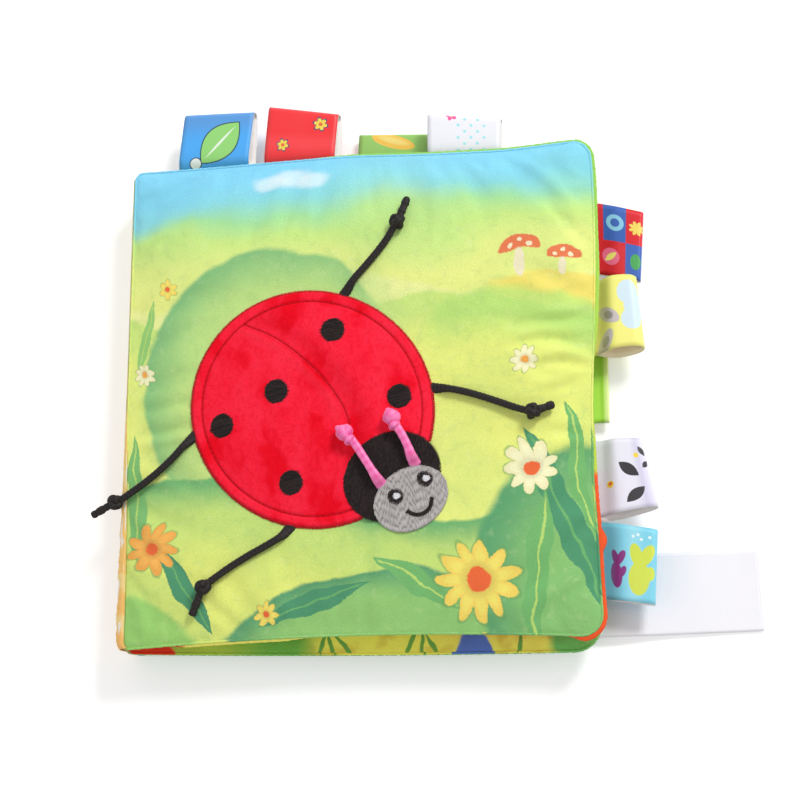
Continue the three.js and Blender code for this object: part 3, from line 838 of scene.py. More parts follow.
knot_press = Vector((0, 0, 0.5)) * MM
for name, places in antenna_routes.items():
    route, run, sewn = sunk_route(places[:-1], inward=1.2 * MM, depth=3.2 * MM, end=5.2 * MM)
    base = 1 - smooth_step(run, 1.5 * MM, 9 * MM)
    cord = braided_tube(name, route, antenna_diameter / 2 * (1.15 + 0.5 * base), plait_pitch=2.6 * MM,
                        plait_depth=0.02, flatness=0.72 - 0.4 * base)
    finished(cord, cord_pink, "cover", "cord_pink", name + "_cord")
    end, before, tail = Vector(places[-2]), Vector(places[-3]), Vector(places[-1])
    way = (end - before).normalized()
    knot_middle = end + way * 0.9 * MM - knot_press
    knot = knot_piece(name + "_tied_knot", knot_middle, tail - knot_press, width=6.2 * MM, length=5.4 * MM,
                      radius=2.0 * MM, plait_depth=0.02, turn=0.6)
    finished(knot, cord_pink, "cover", "cord_pink", name + "_knot")
    aside = Vector((-way.y, way.x, 0)).normalized()
    lobe_middle = end - way * 2.2 * MM + aside * 0.5 * MM
    lobe_route = [
        lobe_middle + (aside * math.cos(a) + Vector((0, 0, 1)) * math.sin(a)) * 0.9 * MM
        for a in round_angles(40)
    ]
    lobe_radius = 1.15 * MM
    lobe = braided_tube(name + "_knot_lobe", lobe_route, lobe_radius, closed=True, plait_depth=0.02)
    finished(lobe, cord_pink, "cover", "cord_pink")
    nub_start = end + way * 2.2 * MM
    nub_end = nub_start + (tail - end).normalized() * 2.0 * MM + aside * 0.5 * MM
    nub_route = smooth_route([nub_start, nub_end], 0.3 * MM)
    nub_radius = 1.2 * MM
    nub_radii = nub_radius * (1 - 0.5 * np.linspace(0, 1, len(nub_route)) ** 3)
    nub = braided_tube(name + "_tail", nub_route, nub_radii, plait_depth=0.05)
    finished(nub, cord_pink, "cover", "cord_pink")


# The leaves: one flat grid for all of them, with rounded corners

def grid_marks(half):
    rim = [half - inset * MM for inset in rim_insets_mm]
    inner = rim[-1]
    count = round(2 * inner / cell)
    middle = np.linspace(-inner, inner, count + 1)
    return np.concatenate([[-mark for mark in rim[:-1]], middle, rim[-2::-1]])


class Leaf:
    """A leaf's flat cloth on the grid, its outline when filled, and how far each point is from the rim."""

    def __init__(self, level, lower_bow, slip=0.0, fore_trim=0.0, lower_corner=8.0, upper_corner=8.0,
                 fore_wave=((0, 0),), upper_wave=((0, 0),)):
        self.level = level
        x, y = np.meshgrid(grid_marks(page_width / 2), grid_marks(page_height / 2), indexing="ij")
        inset = np.minimum(page_width / 2 - abs(x), page_height / 2 - abs(y))
        for right, up, radius in (
            (1, -1, lower_corner * MM), (1, 1, upper_corner * MM),
            (-1, 1, spine_corner_radius), (-1, -1, spine_corner_radius),
        ):
            a = (right * x - (page_width / 2 - radius)) / radius
            b = (up * y - (page_height / 2 - radius)) / radius
            corner = (a > 0) & (b > 0)
            across = a * np.sqrt(np.clip(1 - b * b / 2, 0, 1))
            along = b * np.sqrt(np.clip(1 - a * a / 2, 0, 1))
            x = np.where(corner, right * (page_width / 2 - radius + radius * across), x)
            y = np.where(corner, up * (page_height / 2 - radius + radius * along), y)
            inset = np.where(corner, radius * (1 - np.hypot(across, along)), inset)
        self.x, self.y, self.inset = x, y, np.maximum(inset, 0)
        across, along = x / (page_width / 2), y / (page_height / 2)
        side = np.where(x > 0, fore_edge_bow, 0)
        end = np.where(y > 0, upper_edge_bow, lower_bow * MM)
        self.drawn_x = x - across * side * (1 - along ** 2) - fore_trim * MM * smooth_step(across, 0.5, 1)
        self.drawn_y = y - along * end * (1 - across ** 2) - slip * MM * (across + 1) / 2
        self.drawn_x += eased(y / MM, fore_wave) * MM * smooth_step(across, 0.72, 0.98)
        self.drawn_y += eased(x / MM, upper_wave) * MM * smooth_step(along, 0.80, 0.98)


cover_leaf = Leaf(
    cover_level, 2.8, upper_corner=6,
    fore_wave=((-60, -0.5), (-46, -0.5), (-34, -1.0), (-20, -0.7), (-10, -0.6), (0, -0.2), (12, 0.3),
               (22, 0.6), (38, 0.8), (50, 0.6), (60, 0.1), (70, -0.5), (77, -1.3), (84, -2.3)),
    upper_wave=((-72, 0), (-60, 0.3), (-33, 1.0), (-7, 1.5), (2, 1.2), (24, 0), (50, -0.8), (70, 0)),
)
middle_leaf = Leaf(middle_level, -0.8, slip=3.2, fore_trim=1.9, lower_corner=9.5)
back_leaf = Leaf(back_level, 4.4, fore_trim=3.0, lower_corner=9)
flat_x, flat_y, flat_inset = cover_leaf.x, cover_leaf.y, cover_leaf.inset


def crown_at(inset):
    share = np.minimum(inset / crown_roll, 1)
    crown = seam_half + (leaf_crown - seam_half) * (1 - (1 - share) ** 2)
    return crown - seam_half * np.exp(-inset / edge_round)


def grid_faces(rows, columns, start=0, turned=False):
    faces = []
    for row in range(rows - 1):
        for column in range(columns - 1):
            a = start + row * columns + column
            face = (a, a + columns, a + columns + 1, a + 1)
            faces.append(face[::-1] if turned else face)
    return faces


def rim_order(rows, columns):
    """The grid's outermost points, in order round the leaf."""
    ring = [(row, 0) for row in range(rows)]
    ring += [(rows - 1, column) for column in range(1, columns)]
    ring += [(row, columns - 1) for row in range(rows - 2, -1, -1)]
    ring += [(0, column) for column in range(columns - 2, 0, -1)]
    return [row * columns + column for row, column in ring]


def two_layer_faces(rows, columns, turned=False):
    """Faces of two grids of points, one after the other, closed round their edges."""
    count = rows * columns
    faces = grid_faces(rows, columns, turned=turned)
    faces += grid_faces(rows, columns, start=count, turned=not turned)
    order = rim_order(rows, columns)
    for here, after in zip(order, order[1:] + order[:1]):
        face = (here, here + count, after + count, after)
        faces.append(face[::-1] if turned else face)
    return faces


def two_layer_piece(name, outer, inner, shape, turned=False, places=None):
    """A closed piece between two grids of points. places are a grid's places on the flat cloth."""
    made = mesh_object(name, np.vstack([outer, inner]), two_layer_faces(*shape, turned=turned))
    if places is None:
        places_from_shape(made)
    else:
        set_cloth_places(made, np.vstack([places, places]))
    return made


def simulated_folds():
    """Lets the cloth swell a little between its sewn rims, and returns the folds that it gets: how far each
    point moved, less the broad swell. It runs ten times as large, where the solver is steady."""
    enlarge = 10
    heights = crown_at(flat_inset)
    points = in_rows(cover_leaf.drawn_x, cover_leaf.drawn_y, heights) * enlarge
    rows, columns = flat_x.shape
    sheet = mesh_object("folding_sheet", points, grid_faces(rows, columns))
    pins = sheet.vertex_groups.new(name="sewn")
    sewn_width = 1.2 * MM
    sewn = np.flatnonzero(flat_inset.ravel() < sewn_width)
    pins.add([int(i) for i in sewn], 1.0, "REPLACE")
    cloth = sheet.modifiers.new("cloth", "CLOTH")
    for setting, value in (
        ("quality", 6), ("mass", 0.25), ("tension_stiffness", 18), ("compression_stiffness", 18),
        ("shear_stiffness", 8), ("bending_stiffness", 0.35), ("air_damping", 2),
        ("vertex_group_mass", "sewn"), ("use_pressure", True), ("uniform_pressure_force", 1.2),
        ("shrink_min", -0.025),
    ):
        setattr(cloth.settings, setting, value)
    cloth.settings.effector_weights.gravity = 0
    cloth.collision_settings.use_collision = False
    cloth.collision_settings.use_self_collision = False
    scene = bpy.context.scene
    steps = 22
    for step in range(1, steps + 1):
        scene.frame_set(step)
    depsgraph = bpy.context.evaluated_depsgraph_get()
    moved = mesh_points(sheet.evaluated_get(depsgraph).data)
    scene.frame_set(1)
    bpy.data.objects.remove(sheet)
    shift = ((moved - points) / enlarge).reshape(rows, columns, 3)
    broad = shift.copy()
    smoothings = 60
    for _ in range(smoothings):
        padded = np.pad(broad, ((1, 1), (1, 1), (0, 0)), mode="edge")
        broad = (padded[:-2, 1:-1] + padded[2:, 1:-1] + padded[1:-1, :-2] + padded[1:-1, 2:]) / 4
    folds = shift - broad
    size = np.linalg.norm(folds, axis=2, keepdims=True)
    cap = 0.8 * MM
    return folds * np.tanh(size / cap) * cap / np.maximum(size, 1e-9)


folds = simulated_folds()


def turned_folds(flip_x, flip_y):
    made = folds.copy()
    if flip_x:
        made = made[::-1] * (-1, 1, 1)
    if flip_y:
        made = made[:, ::-1] * (1, -1, 1)
    return made


def near(distance, width):
    return np.exp(-(distance / (width * MM)) ** 2)


def soft_waves(seed, size, spread):
    """Broad shallow dents, as the loose filling and the film give."""
    draws = np.random.default_rng(seed)
    height = np.zeros_like(flat_x)
    waves = 7
    for _ in range(waves):
        angle = draws.uniform(0, math.pi)
        wave = draws.uniform(*spread)
        phase = draws.uniform(0, 2 * math.pi)
        height += np.sin((flat_x * math.cos(angle) + flat_y * math.sin(angle)) * 2 * math.pi / wave + phase)
    return height * size / waves * smooth_step(flat_inset, 0, 12 * MM)


def puckers(leaf, seed):
    """Gathers that run in from the sewn edges, stronger in some stretches than in others."""
    size = 0.44 * MM
    draws = np.random.default_rng(seed)
    height = np.zeros_like(leaf.x)
    edges = (
        (page_width / 2 - leaf.x, leaf.y, 1.0), (page_width / 2 + leaf.x, leaf.y, 0.55),
        (page_height / 2 - leaf.y, leaf.x, 0.7), (page_height / 2 + leaf.y, leaf.x, 0.8),
    )
    for distance, along, part in edges:
        for wave, reach, share in ((5.2, 3.4, 0.5), (7.9, 6, 0.8), (12.7, 11, 0.9), (19, 15, 0.7)):
            phase = draws.uniform(0, 2 * math.pi, 3)
            slow = np.sin(along / (21 * MM) + phase[0])
            strength = 0.5 + 0.5 * slow * np.sin(along / (8.3 * MM) + phase[1])
            bend = 1.2 * np.sin(distance / (9 * MM) + phase[1])
            fold = 1 - 2 * abs(np.sin(along * math.pi / (wave * MM) + phase[2] + bend * 0.25)) ** 0.8
            start = 1 - np.exp(-distance / (1.1 * MM))
            height += size * part * share * strength * fold * start * np.exp(-distance / (reach * MM))
    return height


def plush_creases(leaf):
    """Creases in the cover round the sewn plush, and the long ones between it and the spine."""
    x, y = leaf.x - bug_middle.x, leaf.y - bug_middle.y
    beyond = np.maximum(np.hypot(x, y) - plush_radius, 0)
    angle = np.arctan2(y, x)
    ring = np.sin(23 * angle + 2 * np.sin(3 * angle)) * (0.6 + 0.4 * np.sin(5 * angle + 1))
    height = 0.11 * MM * ring * np.exp(-beyond / (6 * MM)) * smooth_step(beyond, 0, 1.5 * MM)
    toward_spine = smooth_step(-leaf.x, 50 * MM, 60 * MM)
    for level, size in ((9, 0.5), (-2.5, 1.0), (-10, 1.3), (-16, 0.8), (-30, 0.5)):
        line = leaf.y - level * MM - 1.3 * MM * np.sin(leaf.x / (7 * MM) + level)
        height -= size * MM * near(line, 1.7) * toward_spine
    for level, size, start, slope in ((30, 0.6, 62, 0.1), (22, 1.2, 52, 0.16), (14.5, 1.6, 44, 0.08),
                                      (6, 1.5, 50, -0.10), (-1.5, 1.3, 56, 0.1), (-16, 0.8, 58, -0.1)):
        drift = slope * (leaf.x - 70 * MM) + 0.9 * MM * np.sin(leaf.x / (5 * MM) + level)
        line = leaf.y - level * MM - drift
        reach = smooth_step(leaf.x, start * MM, (start + 16) * MM)
        height += size * MM * (0.7 * near(line - 2.4 * MM, 1.9) - near(line, 1.5)) * reach
    return height


def leaf_cloth(name, leaf, upper, seed, flips, look, body, node, room=0.12 * MM, floor=None,
               under_plush=False, lining_fold=0.0):
    """One closed cloth of a leaf, from its outer face in to its lining."""
    side = 1 if upper else -1
    fold = turned_folds(*flips)
    height = crown_at(leaf.inset)
    calm = np.ones_like(leaf.x)
    if under_plush:
        reach = np.hypot(leaf.x - bug_middle.x, leaf.y - bug_middle.y)
        calm = smooth_step(reach, plush_radius, plush_radius + 10 * MM)
        height = height + plush_creases(leaf)
    height = height + (fold[..., 2] + soft_waves(seed, 0.5 * MM, (26 * MM, 60 * MM))) * calm
    height = height + puckers(leaf, seed + 20) * calm
    top = leaf_crown + room
    ease = 0.3 * MM
    over = np.maximum(height - (top - ease), 0)
    height = np.where(over > 0, top - ease * np.exp(-over / ease), height)
    height = np.maximum(height, seam_half * (1 - np.exp(-leaf.inset / edge_round)) * 0.9)
    x = leaf.drawn_x + fold[..., 0] * calm
    y = leaf.drawn_y + fold[..., 1] * calm
    if lining_fold:
        fold_place = -52 * MM
        bulge = near(leaf.y - fold_place, 5.5) * near(leaf.inset - 2 * MM, 1.5)
        x = x + lining_fold * bulge * (leaf.x > 0)
    outer = leaf.level + side * height
    lining = outer - side * cloth_thickness
    if upper:
        leaf.roof = lining.copy()
    parting = 0.03 * MM
    meeting = leaf.level + side * parting
    lining = np.maximum(lining, meeting) if upper else np.minimum(lining, meeting)
    lining = np.where(leaf.inset < 1e-6, outer, lining)
    if floor is not None:
        outer = np.maximum(outer, floor)
        lining = np.maximum(lining, floor + cloth_thickness * 0.8)
    made = two_layer_piece(name, in_rows(x, y, outer), in_rows(x, y, lining), leaf.x.shape,
                           turned=not upper, places=in_rows(leaf.x, leaf.y) / MM)
    subdivide(made)
    finished(made, leaf_materials[look], body, look, node)


rim_spacing = 0.36 * MM


def crimped_rim(name, leaf, drop, width_at, look, body, seed, radius=0.42 * MM):
    """The seam allowance that shows as a narrow crimped edge round a leaf. width_at says, for places in
    millimetres, how far it comes out past the leaf's cloth."""
    ring = rim_order(*leaf.x.shape)
    rim = in_rows(leaf.drawn_x.ravel()[ring], leaf.drawn_y.ravel()[ring], leaf.level - drop)
    closest = 0.05 * MM
    keep = np.linalg.norm(rim - np.roll(rim, 1, axis=0), axis=1) > closest
    route = smooth_route(rim[keep], rim_spacing, closed=True)
    way = np.roll(route, -1, axis=0) - np.roll(route, 1, axis=0)
    out = unit_rows(in_rows(way[:, 1], -way[:, 0]))
    centre = route[:, :2].mean(axis=0)
    if ((route[:, :2] - centre) * out).sum() < 0:
        out = -out
    draws = np.random.default_rng(seed)
    run = np.arange(len(route)) * rim_spacing
    crimp = sum(
        np.sin(run * 2 * math.pi / (wave * MM) + draws.uniform(0, 6.3) + np.sin(run / (7 * MM) + wave))
        for wave in (1.5, 2.3, 3.7)
    ) / 3
    width = width_at(route[:, 0] / MM, route[:, 1] / MM) * MM
    half = (radius + np.maximum(width, 0) * 0.5) * (1 + 0.12 * np.roll(crimp, 4))
    route[:, :2] += out * (width - half + 0.10 * MM * crimp)[:, None]
    route[:, 2] += 0.08 * MM * np.roll(crimp, 9)
    made = braided_tube(name, route, half, closed=True, sides=8, plait_depth=0, flatness=radius / half,
                        upright=True)
    finished(made, leaf_materials[look], body, look)


def filling(name, leaf, low, high, reach, material, body, slot, node, seed, room, crinkle=0.0):
    """Wadding or film inside a leaf, from low to high above its level where the leaf is full, and reach in
    from its edges. It stays room below the upper cloth."""
    thinnest = 0.15 * MM
    rows = np.flatnonzero(abs(leaf.x[:, leaf.x.shape[1] // 2]) < page_width / 2 - reach)
    columns = np.flatnonzero(abs(leaf.y[leaf.y.shape[0] // 2]) < page_height / 2 - reach)
    part = np.ix_(rows, columns)
    x, y, inset = leaf.drawn_x[part], leaf.drawn_y[part], leaf.inset[part]
    draws = np.random.default_rng(seed)
    wave = crinkle * np.sin(x / (2.3 * MM) + draws.uniform(0, 6)) * np.sin(y / (3.1 * MM) + x / (5 * MM))
    edge = smooth_step(inset, reach - 2 * MM, reach + 9 * MM)
    share = np.clip((crown_at(inset) - 0.9 * MM) / (leaf_crown - 0.9 * MM), 0.05, 1) * edge
    upper = np.minimum(leaf.level + share * high + wave, leaf.roof[part] - room)
    lower = np.minimum(leaf.level + share * low + wave, upper - thinnest)
    made = two_layer_piece(name, in_rows(x, y, upper), in_rows(x, y, lower), x.shape)
    finished(made, material, body, slot, node)
    return made, (float(np.ptp(x)), float(np.ptp(y)))


leaf_cloth("cover_printed_cloth", cover_leaf, True, 3, (False, False), "cover_print", "cover",
           "cover_outer_cloth", room=0.3 * MM, under_plush=True)
leaf_cloth("cover_lining_cloth", cover_leaf, False, 4, (True, False), "cover_lining", "cover",
           "cover_inner_cloth", lining_fold=5.6 * MM)
leaf_cloth("middle_printed_cloth", middle_leaf, True, 5, (False, True), "middle_front_print", "middle_leaf",
           "middle_leaf_front_cloth")
leaf_cloth("middle_second_cloth", middle_leaf, False, 6, (True, True), "middle_back_print", "middle_leaf",
           "middle_leaf_back_cloth")
leaf_cloth("back_inner_printed_cloth", back_leaf, True, 7, (True, False), "back_inner_print", "back_cover",
           "back_cover_inner_cloth")
leaf_cloth("back_outer_printed_cloth", back_leaf, False, 8, (False, True), "back_outer_print", "back_cover",
           "back_cover_outer_cloth", floor=0.0)

for body, leaf, low in (
    ("cover", cover_leaf, -2.3 * MM),
    ("middle_leaf", middle_leaf, -2.3 * MM),
    ("back_cover", back_leaf, -1.9 * MM),
):
    wadding, _ = filling(body + "_wadding", leaf, low=low, high=1.5 * MM, reach=7 * MM,
                         material=wadding_material, body=body, slot="padding", node=body + "_padding",
                         seed=11, room=0.55 * MM)
    film, flat = filling(body + "_film_sheet", leaf, low=1.9 * MM, high=2.1 * MM, reach=9 * MM,
                         material=film_material, body=body, slot="crinkle_film",
                         node=body + "_crinkle_film", seed=12, room=0.25 * MM, crinkle=0.12 * MM)


def even_rim(width):
    def width_at(x, y):
        return width + 0 * x
    return width_at


def cover_lining_rim(x, y):
    """Wide along the fore-edge and the lower fore corner, narrow on part of the ends, tucked in elsewhere."""
    fore = smooth_step(x, 67, 74) * eased(y, (
        (-84, 1.7), (-77, 1.4), (-68, 1.15), (-60, 1.3), (-51, 1.3), (-42, 1.25), (-34, 1.3), (-25, 1.0),
        (-19, 0.85), (-13, 0.4), (-9, 0), (8, 0), (12, 0.7), (16, 1.1), (24, 1.3), (38, 1.5), (46, 1.15),
        (54, 1.05), (66, 1.2), (76, 1.1), (84, 1.0),
    ))
    upper = smooth_step(y, 76, 81) * smooth_step(x, -36, 8) * 0.95
    lower = smooth_step(-y, 72, 79) * smooth_step(x, -64, -56) * smooth_step(-x, 14, 26) * 0.9
    return np.maximum.reduce([fore, upper, lower]) - 0.25 * (x < -70) - 0.05


for stem, leaf, body, print_look, lining_look, lining_width, drop in (
    ("cover", cover_leaf, "cover", "cover_print", "cover_lining", cover_lining_rim, 0.42 * MM),
    ("middle", middle_leaf, "middle_leaf", "middle_front_print", "middle_back_print",
     even_rim(0.30), 0.35 * MM),
    ("back", back_leaf, "back_cover", "back_inner_print", "back_outer_print", even_rim(0.12), 0.30 * MM),
):
    crimped_rim(stem + "_print_rim", leaf, -0.1 * MM, even_rim(0.12), print_look, body, 71, radius=0.34 * MM)
    crimped_rim(stem + "_lining_rim", leaf, drop, lining_width, lining_look, body, 72)


# The spine: one cloth over the three leaves' edges, in two stretches, each from a cover's edge to the middle
# leaf's

def spine_stretch(name, leaf, over, seed):
    """One stretch of spine cloth, from a cover's edge to the middle leaf's. over is how far it laps over the
    cover's face at the lower end; it laps less and bulges less towards the upper end."""
    side = 1 if leaf.level > middle_level else -1
    rows = np.arange(-82.4, 80.6, 0.42) * MM
    draws = np.random.default_rng(seed)
    phases = draws.uniform(0, 2 * math.pi, 6)
    crimp = sum(
        np.sin(rows * 2 * math.pi / (wave * MM) + phase + np.sin(rows / (9 * MM) + phase)) * part
        for wave, phase, part in zip((1.7, 2.9, 4.7, 7.3, 13), phases, (0.05, 0.07, 0.08, 0.10, 0.13))
    )
    share = 1 - smooth_step(rows, -70 * MM, 24 * MM)
    lap = (over * share + 0.25 * crimp * share - 0.1 * (1 - share)) * MM
    bulge = (0.05 + 1.6 * share + crimp * (0.1 + 1.2 * share)) * MM
    past = np.maximum(abs(rows) - (page_height / 2 - spine_corner_radius), 0)
    rounding = spine_corner_radius - np.sqrt(spine_corner_radius ** 2 - past ** 2)
    edge = -page_width / 2 + rounding
    gap = abs(leaf.level - middle_level)
    drop = np.linspace(0, gap - 0.3 * MM, 9)
    columns = [
        (edge + lap, crown_at(np.maximum(lap, 0)) + 0.10 * MM),
        (edge + lap - 0.25 * MM, crown_at(np.maximum(lap, 0)) + 0.32 * MM),
        (edge + lap * 0.4 - 0.1 * MM, crown_at(np.maximum(lap * 0.4, 0)) + 0.42 * MM),
        (edge - 0.35 * MM - 0.3 * bulge, 0.25 * MM + 0 * rows),
    ]
    for depth in drop[1:]:
        swell = math.sin(math.pi * (0.12 + 0.88 * depth / gap)) ** 0.6
        columns.append((edge - 0.3 * MM - bulge * swell, -depth + 0 * rows))
    outer = np.array([[(x[i], y, leaf.level + side * z[i]) for x, z in columns] for i, y in enumerate(rows)])
    inner = outer + (cloth_thickness * 0.7, 0, 0)
    inner[:, :3] = outer[:, :3] - (0, 0, side * 0.25 * MM)
    places = in_rows(np.arange(len(columns)) * 0.8 + 100, outer[..., 1] / MM)
    made = two_layer_piece(name, outer.reshape(-1, 3), inner.reshape(-1, 3), outer.shape[:2],
                           turned=side < 0, places=places)
    made.data.materials.append(leaf_materials["spine_cloth"])
    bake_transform(made)
    return made


upper_spine = spine_stretch("spine_cloth_upper", cover_leaf, 1.7, 21)
spine_stretch("spine_cloth_lower", back_leaf, 1.2, 22)
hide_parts("spine_binding")


# Ribbon tags: satin folded to a loop and sewn into the seam

ribbon_tuck = 3 * MM
ribbon_sewn_half = 0.25 * MM
ribbon_thickness = 0.3 * MM


def ribbon_profile(reach, half):
    """Out and up, the loop from the seam round its outer fold and back."""
    run = min(6 * MM, (reach - half) * 0.6)
    out = np.linspace(-ribbon_tuck, run, 10)
    up = ribbon_sewn_half + (half - ribbon_sewn_half) * smooth_step(out, 0.0, run)
    straight = np.linspace(run, reach - half, 6)[1:]
    angles = np.linspace(0, math.pi / 2, 8)[1:]
    upper = in_rows(
        np.concatenate([out, straight, reach - half + half * np.sin(angles)]),
        np.concatenate([up, np.full(5, half), half * np.cos(angles)]),
    )
    return np.vstack([upper, upper[-2::-1] * (1, -1)])


def ribbon_tag(name, node, edge, body, slot, painter, back, opening, reaches, leans=(0, 0), skew=0, spread=0,
               root=0, trim=0):
    """The measures, from opening on, are in millimetres. The reaches are how far the outer fold comes at the
    two ends of the ribbon's width, first the one towards the spine or the lower edge, and the leans how far
    each end shifts along the seam on its way out. root shifts the whole sewn end, trim shortens the width,
    and skew and spread part the two layers."""
    opening, skew, spread, root, trim = (size * MM for size in (opening, skew, spread, root, trim))
    reaches = [reach * MM for reach in reaches]
    leans = [lean * MM for lean in leans]
    low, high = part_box(node)
    level = (low.z + high.z) / 2
    fore = edge == "fore"
    root_out = low.x if fore else low.y
    first, last = (low.y + trim, high.y) if fore else (low.x + trim, high.x)
    open_way = -1 if fore else 1
    reach = sum(reaches) / 2
    profile = ribbon_profile(reach, opening / 2)
    run = run_along(profile)
    ways = unit_rows(np.gradient(profile, axis=0))
    inward = in_rows(ways[:, 1], -ways[:, 0])
    widths = np.linspace(0, 1, 15)
    reach_here = reaches[0] + (reaches[1] - reaches[0]) * widths
    lean = leans[0] + (leans[1] - leans[0]) * widths
    arch = 1 + 0.08 * (1 - (2 * widths - 1) ** 2)
    lower = (np.arange(len(profile)) > len(profile) // 2)[:, None]
    layers = []
    for layer in (0, 1):
        out, up = (profile + inward * ribbon_thickness * layer).T[..., None]
        share = np.clip(out / reach, 0, 1)
        apart = lower * skew * (1 - share) + (2 * lower - 1) * spread * np.sin(math.pi * share) ** 0.7
        outward = root_out + np.where(out < 0, out, out * reach_here / reach)
        along = first + (last - first) * widths + lean * share + root * (1 - share) + open_way * apart
        x, y = (outward, along) if fore else (along, outward)
        layers.append(in_rows(x, y, level + up * arch))
    places = in_rows(run[:, None], (widths - 0.5) * (last - first)) / MM
    rows, columns = len(profile), len(widths)
    made = two_layer_piece(name, *layers, (rows, columns), turned=not fore, places=places)
    satin = cloth_material(name + "_satin", painter, ribbed_weave, roughness=0.42, sheen=0.15, grain=0.03,
                           specular=0.45, relief_depth=0.02 * MM, anisotropy=0.4)
    finished(made, satin, body, slot, node)
    made.data.materials.append(cloth_material(
        name + "_back", coloured(*back), ribbed_weave, roughness=0.6, grain=0.03, relief_depth=0.03 * MM,
    ))
    for index, polygon in enumerate(made.data.polygons):
        polygon.material_index = 0 if index < (rows - 1) * (columns - 1) else 1
    round(last - first, 4)


def outlined(cloth, shape, place, size, colour, degrees=0.0, width=0.35):
    line = (40, 58, 78)
    grown = (size[0] + width, size[1] + width)
    cloth.over(shape(place, grown, degrees, soft=0.05), line)
    cloth.over(shape(place, size, degrees, soft=0.05), colour)


def paint_blue_ribbon(cloth):
    cloth.plain(76, 172, 246)
    # Painted shade from near the outer fold on, where the ribbon bends over and under
    cloth.over(fade(cloth.x, 15, 24), (92, 150, 214), 0.8)
    outlined(cloth, cloth.blade, (14.6, 1.6), (9.2, 5.8), (150, 216, 120), degrees=40, width=0.45)
    cloth.over(cloth.blade((14.6, 1.6), (7.4, 0.45), 40, soft=0.3), (236, 246, 230))
    outlined(cloth, cloth.oval, (7.4, -6.5), (1.9, 1.9), (240, 246, 244))
    outlined(cloth, cloth.blade, (31, -5), (6, 3.4), (150, 216, 120), degrees=-30)


def small_star(cloth, place, radius):
    cloth.over(cloth.blossom(place, radius * 1.22, 6, 12), (58, 66, 110))
    cloth.over(cloth.blossom(place, radius, 6, 12), (244, 214, 84))
    cloth.over(cloth.oval(place, (radius * 0.3, radius * 0.3)), (232, 110, 60))


def paint_red_ribbon(cloth):
    cloth.plain(244, 48, 54)
    # A painted highlight in a band across the ribbon, and painted shade towards its sewn root
    cloth.over(fade(size_of(cloth.x - 13), 5, 0), (255, 80, 86), 0.5)
    cloth.over(fade(cloth.x, 6, 1), (206, 30, 36), 0.8)
    for place, radius in (((12.5, -6.2), 2.0), ((20.5, 6.6), 2.4), ((31, -3), 2.2)):
        small_star(cloth, place, radius)


def paint_green_ribbon(cloth):
    cloth.plain(156, 206, 108)
    cloth.over(cloth.oval((13.4, 0), (2.4, 8.0), 15), (250, 200, 84))
    cloth.over(cloth.oval((13.8, 0), (1.1, 5.4), 15, soft=0.8), (252, 224, 128))
    cloth.over(cloth.oval((6, -8), (2.0, 2.0)), (250, 214, 96))


def paint_dotted_ribbon(cloth):
    cloth.plain(243, 242, 250)
    # Painted shade towards the sewn root
    cloth.over(fade(cloth.x, 9, 4), (222, 218, 236), 0.7)
    across = sine(cloth.x * (2 * math.pi / 4.4))
    along = sine(cloth.y * (2 * math.pi / 4.4) + 1.2)
    held = fade(cloth.y, -3.5, -2.5) * fade(cloth.y, 8, 7)
    cloth.over(fade(across * along, 0.68, 0.78) * held, (166, 234, 238))
    for place in ((20.0, -4.4), (30, -4)):
        cloth.over(cloth.blossom(place, 2.1, 5, 20), (250, 96, 168))
        cloth.over(cloth.oval(place, (0.6, 0.6)), (254, 236, 140))


def paint_checked_ribbon(cloth):
    cloth.plain(226, 34, 48)
    across = fade(cloth.y, 0.1, -0.1)
    along = fade(cloth.x, 11.4, 11.6)
    both = across * along
    odd = across + along - both * 2
    cloth.over(1 - odd, (62, 104, 192))
    cloth.over(fade(cloth.x, 4.1, 3.9), (226, 34, 48))
    cloth.over(cloth.oval((7.9, 6.6), (2.9, 2.9)), (150, 212, 244))
    cloth.over(cloth.oval((7.9, 6.6), (1.5, 1.5)), (62, 104, 192))
    cloth.over(cloth.blossom((15, 6), 2.6, 8), (250, 222, 104))
    cloth.over(cloth.oval((6.5, -5.6), (3.0, 3.0)), (246, 112, 150))
    cloth.over(cloth.blade((6.5, -5.6), (2.6, 1.0), 40), (250, 236, 120))
    cloth.over(cloth.oval((15, -6), (1.8, 2.8)), (74, 170, 90))


def paint_yellow_ribbon(cloth):
    cloth.plain(250, 244, 132)
    for place, size in (((14.6, 6.4), (3.8, 4.2)), ((17, 1.6), (4.2, 4.6)), ((15, -3), (3.4, 3.6))):
        cloth.over(cloth.oval(place, size), (216, 236, 246))
    for place, degrees in (((7.4, -0.6), -38), ((6.0, -9.4), 62)):
        cloth.over(cloth.oval(place, (4.4, 2.2), degrees), (206, 196, 196))
        cloth.over(cloth.oval(place, (1.9, 1.2), degrees), (158, 150, 150))
    # Painted shade towards the sewn root
    cloth.over(fade(cloth.x, 9.5, 3), (214, 202, 96), 0.5)


def paint_plain_green_ribbon(cloth):
    cloth.plain(232, 252, 160)
    cloth.over(fade(cloth.x, 5.2, 4.0), (190, 248, 88))


def paint_blotched_ribbon(cloth):
    cloth.plain(238, 236, 248)
    # Painted shade in a band at the outer fold
    cloth.over(fade(size_of(cloth.x - 17), 3, 0), (212, 206, 232), 0.8)
    ink, yellow = (48, 44, 50), (248, 216, 80)
    for place, size, degrees in (
        ((12.8, 1.6), (4.0, 1.9), -42), ((13.9, -7.4), (3.7, 1.8), 38),
        ((18.2, 7.6), (2.0, 1.0), -58), ((18.6, 2.8), (1.7, 0.9), 48),
    ):
        cloth.over(cloth.blade(place, size, degrees), ink)
    cloth.over(cloth.oval((6.2, -2.6), (1.3, 1.2)), yellow)
    cloth.over(cloth.oval((6.2, -2.4), (0.7, 0.5), 20), (240, 96, 60))
    cloth.over(cloth.oval((16.0, 6.2), (0.9, 0.9)), yellow)


